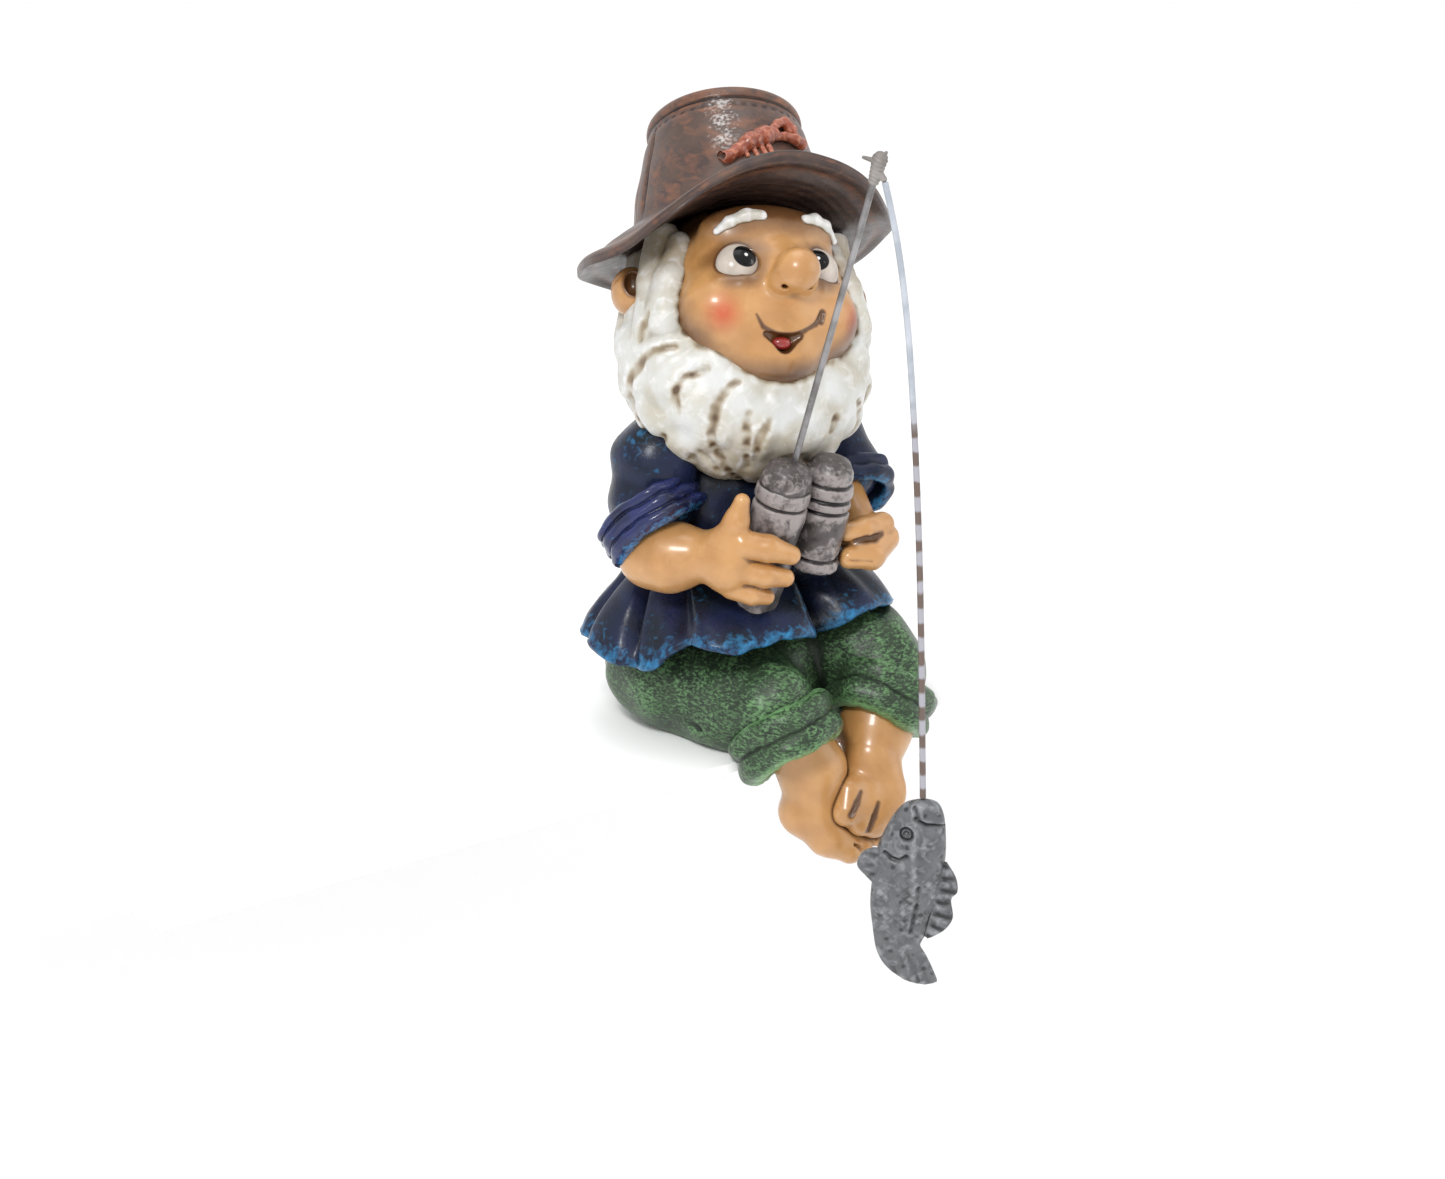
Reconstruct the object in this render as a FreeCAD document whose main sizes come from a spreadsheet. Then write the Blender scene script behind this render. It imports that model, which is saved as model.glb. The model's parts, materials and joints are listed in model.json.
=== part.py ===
import FreeCAD, Part
import Sketcher
import math
import os
from FreeCAD import Placement, Rotation, Vector

# A garden gnome that sits on the edge of a shelf and fishes.
# Millimetres. The origin is the middle of the flat seat. The gnome faces -Y, +X is its left, +Z is up.

doc = FreeCAD.newDocument("GardenGnome")

drivingSizes = {
    "seatWide": 15.5, "seatDeep": 13.5, "seatTall": 9.0, "thighThick": 7.1, "thighLong": 11.5,
    "shelfEdge": 12.5, "shinThick": 3.6, "footWide": 3.5, "footLong": 6.0, "toeThick": 1.6,
    "trouserCuff": 6.3, "trouserCuffTall": 5.6, "hemWide": 18.0, "hemDeep": 15.2, "waist": 13.2,
    "chest": 13.6, "neck": 9.0, "sleeveThick": 5.8, "sleeveCuff": 6.3, "sleeveCuffTall": 4.4,
    "armThick": 4.1, "wristThick": 3.0, "palm": 3.7, "fingerThick": 1.3, "fingerLong": 3.6,
    "barrelRadius": 3.45, "rightBarrelLong": 18.5, "leftBarrelRadius": 3.1, "leftBarrelLong": 12.8,
    "headWide": 12.0, "headTall": 12.5, "faceWide": 10.3, "noseRadius": 3.0, "earRadius": 2.9,
    "eyeWide": 2.1, "browLong": 2.7, "mouthWide": 3.9, "beardWide": 15.4, "beardTall": 14.0,
    "hairRadius": 12.2, "brimRadius": 19.0, "brimThick": 1.6, "crownRadius": 10.7, "crownTop": 8.5,
    "crownTall": 16.0, "clawThick": 0.75, "rodRadius": 0.4, "rodLong": 45.4, "socketGap": 0.06,
    "knotRadius": 1.1, "lineRadius": 0.375, "fishWide": 4.3, "fishThick": 1.7, "fishLong": 9.6,
    "finThick": 0.9, "eyeBead": 0.9, "fishGap": 0.15, "knotGap": 0.1, "brimRise": 9.0,
}
sheet = doc.addObject("Spreadsheet::Sheet", "Sizes")
for row, (alias, value) in enumerate(drivingSizes.items(), start=1):
    sheet.set(f"A{row}", alias)
    sheet.set(f"B{row}", str(value))
    sheet.setAlias(f"B{row}", alias)
doc.recompute()

subParts = {}


def bind(thing, **formulas):
    for prop, formula in formulas.items():
        thing.setExpression(prop, formula)


def along(direction, point=(0, 0, 0), upright=None):
    # A placement whose own Z runs along the direction, with its own Y near to upright.
    axisZ = Vector(*direction).normalize()
    near = Vector(*upright) if upright else Vector(0, 1, 0.01)
    axisX = near.cross(axisZ).normalize()
    axisY = axisZ.cross(axisX)
    return Placement(Vector(*point), Rotation(axisX, axisY, axisZ, "ZYX"))


def ellipsoid(name, where, across, deep, tall):
    # Half axes along its own X, Y and Z.
    thing = doc.addObject("Part::Ellipsoid", name)
    bind(thing, Radius2=across, Radius3=deep, Radius1=tall)
    thing.Placement = where
    return thing


def sphere(name, point, radius):
    thing = doc.addObject("Part::Sphere", name)
    bind(thing, Radius=radius)
    thing.Placement = Placement(Vector(*point), Rotation())
    return thing


def cylinder(name, where, radius, height):
    thing = doc.addObject("Part::Cylinder", name)
    bind(thing, Radius=radius, Height=height)
    thing.Placement = where
    return thing


def limb(name, start, end, startRadius, endRadius):
    # A tapered round bar between two points.
    thing = doc.addObject("Part::Cone", name)
    span = Vector(*end) - Vector(*start)
    bind(thing, Radius1=startRadius, Radius2=endRadius, Height=f"{span.Length:.4f} mm")
    thing.Placement = along(span, start)
    return thing


def joined(name, pieces):
    thing = doc.addObject("Part::MultiFuse", name)
    thing.Shapes = pieces
    return thing


def carved(name, blank, tools):
    # Takes each tool out of the blank in turn.
    for number, tool in enumerate(tools):
        cut = doc.addObject("Part::Cut", f"{name}Cut{number}")
        cut.Base = blank
        cut.Tool = tool
        blank = cut
    return blank


def subPart(name, thing):
    thing.Label = name
    subParts[name] = thing
    return thing


def turned(name, where, outline):
    # Revolves a closed outline of (radius, height) formulas about its own Z.
    body = doc.addObject("PartDesign::Body", name)
    sketch = body.newObject("Sketcher::SketchObject", name + "Outline")
    plane = next(item for item in body.Origin.OriginFeatures if item.Role == "XZ_Plane")
    sketch.AttachmentSupport = (plane, [""])
    sketch.MapMode = "FlatFace"
    count = len(outline)
    for index in range(count):
        angle = 2 * math.pi * index / count
        following = 2 * math.pi * (index + 1) / count
        start = Vector(9 - 8 * math.cos(angle), -8 * math.sin(angle) + 9, 0)
        end = Vector(9 - 8 * math.cos(following), -8 * math.sin(following) + 9, 0)
        sketch.addGeometry(Part.LineSegment(start, end), False)
    for index in range(count):
        sketch.addConstraint(Sketcher.Constraint("Coincident", index, 2, (index + 1) % count, 1))
    for index, (radius, height) in enumerate(outline):
        for kind, formula, axis in (("DistanceX", radius, -2), ("DistanceY", height, -1)):
            if formula == "0":
                sketch.addConstraint(Sketcher.Constraint("PointOnObject", index, 1, axis))
            else:
                number = sketch.addConstraint(Sketcher.Constraint(kind, -1, 1, index, 1, 5.0))
                sketch.setExpression(f"Constraints[{number}]", formula)
    turn = body.newObject("PartDesign::Revolution", name + "Turn")
    turn.Profile = sketch
    turn.ReferenceAxis = (sketch, ["V_Axis"])
    turn.Angle = 360
    doc.recompute()
    body.Placement = where
    return body


# ---------------------------------------------------------------- places
# The head looks up and to the gnome's right. Its own axes are left, back and up.
headTurn = (Rotation(Vector(0, 0, 1), -14.2) * Rotation(Vector(1, 0, 0), -34)
            * Rotation(Vector(0, 1, 0), 9.6))
headPlace = Placement(Vector(0, 3.4, 50), headTurn)
hatAxis = Vector(0.351, 0.618, 0.704).normalize()
brimPoint = headPlace.Base + hatAxis * sheet.brimRise
hatPlace = along(hatAxis, brimPoint)

rightBarrelFoot = Vector(-5.6, -7.0, 15.8)
rightBarrelAxis = Vector(1.1, -4.3, 18.0)
leftBarrelFoot = Vector(1.6, -10.2, 21.2)
leftBarrelAxis = Vector(0.5, -1.7, 12.4)
rodFoot = Vector(-4.75, -10.45, 28.4)
rodAxis = Vector(2.8, -12.0, 38.7).normalize()
rodTip = rodFoot + rodAxis * (sheet.rodLong + sheet.knotRadius + sheet.knotGap)


def onHead(point, lean=None):
    # A placement given in the head's own axes, its Z along lean if that is given.
    local = along(lean, point) if lean else Placement(Vector(*point), Rotation())
    return headPlace * local


# ---------------------------------------------------------------- trousers, cuffs and feet
seat = ellipsoid("SeatBlank", Placement(Vector(-2.6, 3, 6), Rotation()),
                 "Sizes.seatWide", "Sizes.seatDeep", "Sizes.seatTall")
rightThigh = ellipsoid("RightThigh", along((1.5, -11, -1.6), (-8.0, -4.3, 5.4)),
                       "Sizes.thighThick", "Sizes.thighThick * 0.95", "Sizes.thighLong")
leftThigh = ellipsoid("LeftThigh", along((2.0, -10, 0.4), (7.6, -4.0, 8.0)),
                      "Sizes.thighThick", "Sizes.thighThick * 0.95", "Sizes.thighLong")
shelf = doc.addObject("Part::Box", "ShelfSpace")
bind(shelf, Length="80", Width="Sizes.shelfEdge + 40", Height="30")
shelf.Placement = Placement(Vector(-40, -sheet.shelfEdge, -30), Rotation())
trouserBlank = joined("TrouserBlank", [seat, rightThigh, leftThigh])
trousers = subPart("trousers", carved("Trousers", trouserBlank, [shelf]))


def foot(side, hem, ankle, toes, across):
    # A bare shin, the foot that hangs from it, and five toes side by side from the big one.
    way = (toes - ankle).normalize()
    sidewise = (across - way * across.dot(way)).normalize()
    pieces = [
        limb(side + "Shin", hem, ankle, "Sizes.shinThick", "Sizes.shinThick * 0.84"),
        sphere(side + "Heel", ankle - way * 0.4, "Sizes.shinThick * 0.92"),
        ellipsoid(side + "Sole", along(way, (ankle + toes) * 0.5, sidewise),
                  "Sizes.footWide * 0.72", "Sizes.footWide", "Sizes.footLong"),
    ]
    for number in range(5):
        shift = sidewise * (-2.7 + 1.45 * number) + way * (0.5 - 0.45 * number)
        size = "Sizes.toeThick" if number == 0 else f"Sizes.toeThick * {0.72 - 0.05 * number:.2f}"
        pieces.append(ellipsoid(f"{side}Toe{number}", along(way, toes + shift), size, size, size + " * 1.35"))
    return joined(side + "FootBlank", pieces)


acrossView = Vector(0.81, -0.59, 0)
rightFootBlank = foot("Right", Vector(-6.6, -14.6, 3.0), Vector(-4.4, -15.8, -4.2),
                      Vector(-0.6, -19.4, -9.8), acrossView * -1)
leftFootBlank = foot("Left", Vector(8.6, -14.0, 6.5), Vector(4.8, -16.6, -1.8),
                     Vector(2.6, -19.6, -7.0), acrossView)
rightFoot = subPart("right_foot", carved("RightFoot", rightFootBlank, [trousers, shelf]))
leftFoot = subPart("left_foot", carved("LeftFoot", leftFootBlank, [trousers, rightFoot, shelf]))


def cuffRoll(name, where, outer, tall, bore):
    # Cloth rolled up twice: two round welts with a groove between them.
    outline = [(f"{outer} * {bore}", "0"), (f"{outer} * 0.9", "0"), (outer, f"{tall} * 0.14"),
               (outer, f"{tall} * 0.42"), (f"{outer} * 0.93", f"{tall} * 0.5"), (outer, f"{tall} * 0.58"),
               (outer, f"{tall} * 0.86"), (f"{outer} * 0.9", tall), (f"{outer} * {bore}", tall)]
    return turned(name, where, outline)


rightCuffBlank = cuffRoll("RightTrouserCuff", along((0.12, -0.5, -0.86), (-6.8, -13.6, 5.6)),
                          "Sizes.trouserCuff", "Sizes.trouserCuffTall", 0.4)
leftCuffBlank = cuffRoll("LeftTrouserCuff", along((-0.5, -0.25, -0.8), (10.4, -13.4, 9.4)),
                         "Sizes.trouserCuff", "Sizes.trouserCuffTall", 0.4)
rightTrouserCuff = subPart("right_trouser_cuff", carved(
    "RightCuff", rightCuffBlank, [trousers, rightFoot, shelf]))
leftTrouserCuff = subPart("left_trouser_cuff", carved(
    "LeftCuff", leftCuffBlank, [trousers, leftFoot, rightTrouserCuff, shelf]))

# ---------------------------------------------------------------- binoculars, with the rod's socket
def barrel(name, foot, axis, radius, long):
    # A domed eyepiece over a groove, a waisted tube, and a ringed end.
    outline = [("0", "0"), (f"{radius} * 0.62", "0"), (f"{radius} * 0.82", f"{long} * 0.06"),
               (f"{radius} * 0.84", f"{long} * 0.14"), (f"{radius} * 0.76", f"{long} * 0.17"),
               (f"{radius} * 0.86", f"{long} * 0.2"), (f"{radius} * 0.97", f"{long} * 0.66"),
               (f"{radius} * 0.84", f"{long} * 0.69"), (f"{radius} * 0.84", f"{long} * 0.72"),
               (radius, f"{long} * 0.75"), (radius, f"{long} * 0.88"), (f"{radius} * 0.86", f"{long} * 0.96"),
               (f"{radius} * 0.5", long), ("0", long)]
    return turned(name, along(axis, foot), outline)


rightBarrelBlank = barrel("RightBarrel", rightBarrelFoot, rightBarrelAxis,
                          "Sizes.barrelRadius", "Sizes.rightBarrelLong")
leftBarrelBlank = barrel("LeftBarrel", leftBarrelFoot, leftBarrelAxis,
                         "Sizes.leftBarrelRadius", "Sizes.leftBarrelLong")
socket = cylinder("RodSocket", along(rodAxis, rodFoot - rodAxis * 0.3),
                  "Sizes.rodRadius + Sizes.socketGap", "14 mm")
rightBarrel = subPart("right_barrel", carved("RightTube", rightBarrelBlank, [socket]))
leftBarrel = subPart("left_barrel", carved("LeftTube", leftBarrelBlank, [rightBarrel]))
bridgeBlank = limb("Bridge", (-4.0, -8.6, 26.5), (2.0, -11.0, 26.5), "1.5 mm", "1.5 mm")
bridge = subPart("barrel_bridge", carved("BarrelBridge", bridgeBlank, [rightBarrel, leftBarrel]))

# ---------------------------------------------------------------- head and face
hatSpace = cylinder("HatSpace", hatPlace, "Sizes.brimRadius * 0.8", "20 mm")
seamBack = Placement(Vector(), Rotation(Vector(0, 0, 1), 90))
skull = ellipsoid("Skull", onHead((0, 0, 0)) * seamBack, "Sizes.headWide", "Sizes.headWide",
                  "Sizes.headTall")
face = ellipsoid("Face", onHead((0, -4.2, -0.6)) * seamBack, "Sizes.faceWide", "Sizes.faceWide",
                 "Sizes.headTall * 0.88")
mouthPlace = onHead((0.2, -11.65, -6.0), (0, -0.81, -0.59))
mouthSpace = cylinder("MouthSpace", mouthPlace, "Sizes.mouthWide * 0.7", "6")
head = subPart("head", carved("Head", joined("HeadBlank", [skull, face]), [hatSpace, mouthSpace]))
noseBlank = ellipsoid("NoseBlank", onHead((0.4, -16.0, -0.6)),
                      "Sizes.noseRadius", "Sizes.noseRadius", "Sizes.noseRadius * 0.93")
nose = subPart("nose", carved("Nose", noseBlank, [head]))
tonguePlace = mouthPlace * Placement(Vector(0, -0.9, 0), Rotation())
subPart("tongue", cylinder("Tongue", tonguePlace, "Sizes.mouthWide * 0.38", "Sizes.mouthWide * 0.2"))
for side, sign in (("right", -1), ("left", 1)):
    eyeBlank = ellipsoid(side + "EyeBlank", onHead((sign * 4.1, -13.2, 1.4), (sign * 0.25, -1, 0.05)),
                         "Sizes.eyeWide", "Sizes.eyeWide * 0.85", "Sizes.eyeWide * 0.45")
    subPart(side + "_eye", carved(side + "Eye", eyeBlank, [head, nose]))
    browBlank = ellipsoid(side + "BrowBlank", onHead((sign * 4.5, -12.7, 5.5), (1, sign * 0.35, sign * -0.2)),
                          "Sizes.browLong * 0.36", "Sizes.browLong * 0.36", "Sizes.browLong")
    subPart(side + "_eyebrow", carved(side + "Brow", browBlank, [head, hatSpace]))
    earBlank = sphere(side + "EarBlank", headPlace.multVec(Vector(sign * 12.0, 1.4, 0.4)), "Sizes.earRadius")
    earBlank.Placement.Rotation = Rotation(Vector(0, 0, 1), 90 - 90 * sign)
    subPart(side + "_ear", carved(side + "Ear", earBlank, [head, hatSpace]))

# ---------------------------------------------------------------- hat
brimOutline = [("0", "0"), ("Sizes.brimRadius * 0.66", "0"),
               ("Sizes.brimRadius * 0.86", "Sizes.brimThick * -0.2"),
               ("Sizes.brimRadius * 0.97", "Sizes.brimThick * 0.3"), ("Sizes.brimRadius", "Sizes.brimThick"),
               ("Sizes.brimRadius * 0.97", "Sizes.brimThick * 1.5"),
               ("Sizes.brimRadius * 0.86", "Sizes.brimThick * 0.95"),
               ("Sizes.brimRadius * 0.66", "Sizes.brimThick"), ("0", "Sizes.brimThick")]
brim = subPart("hat_brim", turned("HatBrim", hatPlace, brimOutline))
crownOutline = [("0", "0"), ("Sizes.crownRadius", "0"), ("Sizes.crownTop * 1.03", "Sizes.crownTall * 0.86"),
                ("Sizes.crownTop * 1.1", "Sizes.crownTall * 0.9"),
                ("Sizes.crownTop * 1.1", "Sizes.crownTall * 0.96"),
                ("Sizes.crownTop", "Sizes.crownTall"), ("Sizes.crownTop * 0.8", "Sizes.crownTall * 0.95"),
                ("0", "Sizes.crownTall * 0.97")]
crownPlace = hatPlace * Placement(Vector(0, 0, sheet.brimThick), Rotation())
crown = subPart("hat_crown", turned("HatCrown", crownPlace, crownOutline))


def onBrim(angle, out, high):
    # A point above the brim, the angle counted from the hat's front towards the gnome's left.
    turn = math.radians(angle)
    return hatPlace.multVec(Vector(out * math.sin(turn), -out * math.cos(turn), high))


tail, waist, shoulders = onBrim(-30, 11.4, 2.9), onBrim(-14, 11.5, 3.6), onBrim(6, 11.8, 4.2)
upperClaw, lowerClaw = onBrim(26, 11.6, 6.4), onBrim(28, 12.6, 2.9)
ornamentPieces = [
    sphere("OrnamentTail", tail, "Sizes.clawThick * 1.9"),
    limb("OrnamentWaist", tail, waist, "Sizes.clawThick * 1.2", "Sizes.clawThick * 1.5"),
    limb("OrnamentBody", waist, shoulders, "Sizes.clawThick * 1.5", "Sizes.clawThick * 1.9"),
    sphere("OrnamentShoulders", shoulders, "Sizes.clawThick * 2.1"),
    limb("OrnamentUpperArm", shoulders, upperClaw, "Sizes.clawThick", "Sizes.clawThick * 1.1"),
    limb("OrnamentLowerArm", shoulders, lowerClaw, "Sizes.clawThick", "Sizes.clawThick * 1.1"),
    sphere("OrnamentUpperClaw", upperClaw, "Sizes.clawThick * 1.6"),
    sphere("OrnamentLowerClaw", lowerClaw, "Sizes.clawThick * 1.6"),
]
ornamentBlank = joined("OrnamentBlank", ornamentPieces)
subPart("hat_ornament", carved("HatOrnament", ornamentBlank, [brim, crown]))

# ---------------------------------------------------------------- beard and hair
beardPieces = [ellipsoid("BeardBlank", onHead((0, 1.5, -7)), "Sizes.beardWide", "Sizes.beardWide * 0.83",
                         "Sizes.beardTall")]
for side, sign in (("right", -1), ("left", 1)):
    beardPieces.append(ellipsoid(side + "Sideburn", onHead((sign * 10.6, -2.6, 1.5)), "Sizes.beardWide * 0.15",
                                 "Sizes.beardWide * 0.2", "Sizes.beardWide * 0.5"))
beard = subPart("beard", carved("Beard", joined("BeardWhole", beardPieces), [
    head, hatSpace, brim, subParts["right_ear"], subParts["left_ear"], rightBarrel, leftBarrel]))
hairBlank = sphere("HairBlank", headPlace.multVec(Vector(0, 3.4, -1.2)), "Sizes.hairRadius")
hair = subPart("hair", carved("Hair", hairBlank, [
    head, hatSpace, brim, subParts["right_ear"], subParts["left_ear"], beard]))

# ---------------------------------------------------------------- sleeves, hands and tunic
rightSleeveBlank = joined("RightSleeveBlank", [
    sphere("RightShoulder", (-12.4, 3.2, 34.0), "Sizes.sleeveThick"),
    limb("RightUpperArm", (-12.4, 3.2, 34.0), (-15.6, 0.6, 26.0), "Sizes.sleeveThick", "Sizes.sleeveThick * 0.86"),
])
leftSleeveBlank = joined("LeftSleeveBlank", [
    sphere("LeftShoulder", (12.4, 3.0, 32.4), "Sizes.sleeveThick"),
    limb("LeftUpperArm", (12.4, 3.0, 32.4), (12.2, -5.4, 29.0), "Sizes.sleeveThick", "Sizes.sleeveThick * 0.8"),
])
rightSleeve = subPart("right_sleeve", carved("RightSleeve", rightSleeveBlank, [beard, hair]))
leftSleeve = subPart("left_sleeve", carved("LeftSleeve", leftSleeveBlank, [beard, hair]))


def hand(side, elbow, wrist, palm, reach, thumb, knuckles):
    # A forearm, a palm, an upright thumb and four fingers that lie one under another along reach.
    pieces = [
        sphere(side + "Elbow", elbow, "Sizes.armThick"),
        limb(side + "Forearm", elbow, wrist, "Sizes.armThick", "Sizes.wristThick"),
        ellipsoid(side + "Palm", along(reach, palm), "Sizes.palm * 0.8", "Sizes.palm * 0.95", "Sizes.palm"),
        ellipsoid(side + "Thumb", along((0.3, -0.2, 1), thumb), "Sizes.fingerThick * 1.1",
                  "Sizes.fingerThick * 1.1", "Sizes.fingerLong * 0.85"),
    ]
    for number in range(4):
        point = knuckles + Vector(0, 0.25, -2.05) * number
        pieces.append(ellipsoid(f"{side}Finger{number}", along(reach, point), "Sizes.fingerThick",
                                "Sizes.fingerThick", f"Sizes.fingerLong * {1 - 0.06 * number:.2f}"))
    return joined(side + "HandBlank", pieces)


rightHandBlank = hand("Right", Vector(-15.6, -1.6, 23.6), Vector(-10.4, -8.2, 24.4),
                      Vector(-8.6, -9.6, 24.6),
                      Vector(0.88, -0.46, -0.08), Vector(-8.0, -10.6, 28.6), Vector(-5.6, -12.6, 27.4))
leftHandBlank = hand("Left", Vector(12.3, -5.4, 28.4), Vector(9.2, -9.6, 25.4), Vector(7.4, -11.6, 24.2),
                     Vector(-0.8, -0.55, 0.05), Vector(6.6, -11.4, 26.6), Vector(6.4, -13.0, 26.4))
rightHand = subPart("right_hand", carved(
    "RightHand", rightHandBlank, [rightSleeve, rightBarrel, leftBarrel]))
leftHand = subPart("left_hand", carved(
    "LeftHand", leftHandBlank, [leftSleeve, leftBarrel, rightBarrel, bridge]))
rightSleeveCuffBlank = cuffRoll("RightSleeveCuff", along((0.1, -0.62, -0.75), (-15.4, 1.6, 29.0)),
                                "Sizes.sleeveCuff", "Sizes.sleeveCuffTall", 0.3)
leftSleeveCuffBlank = cuffRoll("LeftSleeveCuff", along((-0.05, -0.85, -0.4), (12.3, -2.4, 30.4)),
                               "Sizes.sleeveCuff * 0.92", "Sizes.sleeveCuffTall * 0.8", 0.3)
rightSleeveCuff = subPart("right_sleeve_cuff", carved(
    "RightSleeveRoll", rightSleeveCuffBlank, [rightSleeve, rightHand, beard]))
leftSleeveCuff = subPart("left_sleeve_cuff", carved(
    "LeftSleeveRoll", leftSleeveCuffBlank, [leftSleeve, leftHand, beard]))


def ring(name, point, wide, deep):
    # One level outline of the tunic.
    thing = doc.addObject("Part::Ellipse", name)
    bind(thing, MajorRadius=wide, MinorRadius=deep)
    thing.Placement = Placement(Vector(*point), Rotation())
    return thing


tunicBlank = doc.addObject("Part::Loft", "TunicBlank")
tunicBlank.Sections = [
    ring("TunicHem", (-1.6, 1.2, 11.4), "Sizes.hemWide", "Sizes.hemDeep"),
    ring("TunicSkirt", (-1.4, 1.8, 14.6), "Sizes.hemWide * 0.9", "Sizes.hemDeep * 0.88"),
    ring("TunicWaist", (-1.0, 2.6, 20.0), "Sizes.waist", "Sizes.waist * 0.78"),
    ring("TunicChest", (-0.4, 3.4, 28.0), "Sizes.chest", "Sizes.chest * 0.76"),
    ring("TunicNeck", (0, 4.2, 37.0), "Sizes.neck", "Sizes.neck * 0.9"),
]
tunicBlank.Solid = True
tunic = subPart("tunic", carved("Tunic", tunicBlank, [
    trousers, rightBarrel, leftBarrel, bridge, beard, hair, rightSleeve, leftSleeve,
    rightHand, leftHand, rightSleeveCuff, leftSleeveCuff, head, leftTrouserCuff]))

# ---------------------------------------------------------------- rod, knot and line
subPart("rod_wire", cylinder("Rod", along(rodAxis, rodFoot), "Sizes.rodRadius", "Sizes.rodLong"))
subPart("tip_knot", sphere("Knot", rodTip, "Sizes.knotRadius"))

# The line's route: it springs forward off the knot, then hangs with the fish's weight on it.
lineRoute = [Vector(-1.32, -25.42, 71.6), Vector(-0.95, -26.7, 67.2), Vector(-0.6, -27.9, 61.2),
             Vector(-0.35, -28.8, 54.8), Vector(-0.2, -29.45, 48.2), Vector(-0.05, -30.1, 40.4),
             Vector(0.15, -30.8, 28.8), Vector(0.3, -31.35, 15.0), Vector(0.45, -31.75, -1.2)]


def tubePath(points):
    # Straight runs joined by tangent arcs, each as large as its two runs allow.
    edges = []
    start = points[0]
    for before, corner, after in zip(points, points[1:], points[2:]):
        inward = (before - corner).normalize()
        outward = (after - corner).normalize()
        turn = math.pi - inward.getAngle(outward)
        reach = 0.45 * min((before - corner).Length, (after - corner).Length)
        radius = reach / math.tan(turn / 2)
        print(f"line arc radius {radius:.0f} mm, turn {math.degrees(turn):.2f} degrees")
        arcStart = corner + inward * reach
        arcEnd = corner + outward * reach
        middle = (inward + outward).normalize()
        bulge = radius / math.cos(turn / 2) - radius
        edges.append(Part.LineSegment(start, arcStart).toShape())
        edges.append(Part.Arc(arcStart, corner + middle * bulge, arcEnd).toShape())
        start = arcEnd
    edges.append(Part.LineSegment(start, points[-1]).toShape())
    return Part.Wire(edges)


linePath = tubePath(lineRoute)
section = Part.Wire(Part.Circle(lineRoute[0], lineRoute[1] - lineRoute[0], sheet.lineRadius).toShape())
fishingLine = doc.addObject("Part::Feature", "FishingLine")
fishingLine.Shape = linePath.makePipeShell([section], True, False)
expected = math.pi * sheet.lineRadius ** 2 * linePath.Length
print(f"line length {linePath.Length:.2f} mm, volume {fishingLine.Shape.Volume:.3f} of {expected:.3f}")
subPart("fishing_line", fishingLine)

# ---------------------------------------------------------------- fish
fishPlace = Placement(lineRoute[-1] - Vector(0, 0, sheet.fishGap), Rotation(Vector(0, 0, 1), -36))


def onFish(point, turn=Rotation()):
    # A placement in the fish's own axes: X across, Y through its thickness, Z up to its mouth.
    return fishPlace * Placement(Vector(*point), turn)


def fishRing(name, point, wide, deep):
    # One cross-section of the fish, as shares of its greatest width and thickness.
    thing = doc.addObject("Part::Ellipse", name)
    bind(thing, MajorRadius=f"Sizes.fishWide * {wide}", MinorRadius=f"Sizes.fishThick * {deep}")
    thing.Placement = onFish(point)
    return thing


fishBlank = doc.addObject("Part::Loft", "FishBody")
fishBlank.Sections = [
    fishRing("FishLips", (0.1, 0, 0.0), 0.24, 0.42),
    fishRing("FishCheek", (0.0, 0, -3.0), 0.8, 0.95),
    fishRing("FishShoulder", (0.1, 0, -7.0), 1.0, 1.1),
    fishRing("FishBelly", (0.1, 0, -11.5), 0.86, 0.9),
    fishRing("FishWrist", (0.5, 0, -18.0), 0.46, 0.5),
]
fishBlank.Solid = True
fishBody = subPart("fish_body", fishBlank)
finPieces = [
    ellipsoid("FinOne", onFish((-4.2, 0, -7.4), Rotation(Vector(0, 1, 0), 35)), "Sizes.fishWide * 0.42",
              "Sizes.finThick * 0.6", "Sizes.fishWide * 0.5"),
    ellipsoid("FinTwo", onFish((4.2, 0, -10.6), Rotation(Vector(0, 1, 0), -30)), "Sizes.fishWide * 0.42",
              "Sizes.finThick * 0.6", "Sizes.fishWide * 0.55"),
]
for label, finBlank in zip(("near_fin", "far_fin"), finPieces):
    subPart(label, carved(label.title().replace("_", ""), finBlank, [fishBody]))
tailBlank = doc.addObject("Part::Loft", "TailWhole")
tailBlank.Sections = [
    fishRing("TailRoot", (0.5, 0, -18.0), 0.44, 0.45),
    fishRing("TailMiddle", (1.2, 0, -21.0), 0.62, 0.32),
    fishRing("TailEdge", (2.4, 0, -24.6), 0.4, 0.22),
]
tailBlank.Solid = True
subPart("fish_tail", tailBlank)
eyeBlank = cylinder("FishEye", onFish((-1.7, -0.9, -3.6), Rotation(Vector(1, 0, 0), 90)),
                    "Sizes.eyeBead", "Sizes.eyeBead * 1.4")
subPart("fish_eye", carved("FishEyeBead", eyeBlank, [fishBody]))

# ---------------------------------------------------------------- check and write
doc.recompute()
for thing in doc.Objects:
    if "Invalid" in thing.State or "Error" in thing.State:
        raise RuntimeError(f"{thing.Name} ({thing.Label}) did not build: {thing.State}")
os.makedirs("parts", exist_ok=True)
for name, thing in subParts.items():
    if thing.Shape.isNull() or not thing.Shape.isValid():
        raise RuntimeError(f"{name} has no valid shape")
    print(f"{name}: {len(thing.Shape.Solids)} solid, {thing.Shape.Volume:.2f} cubic mm")
    thing.Shape.exportStep(f"parts/{name}.step")
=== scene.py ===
import json
import math
import bpy
import numpy as np
from mathutils import Matrix, Vector


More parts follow.
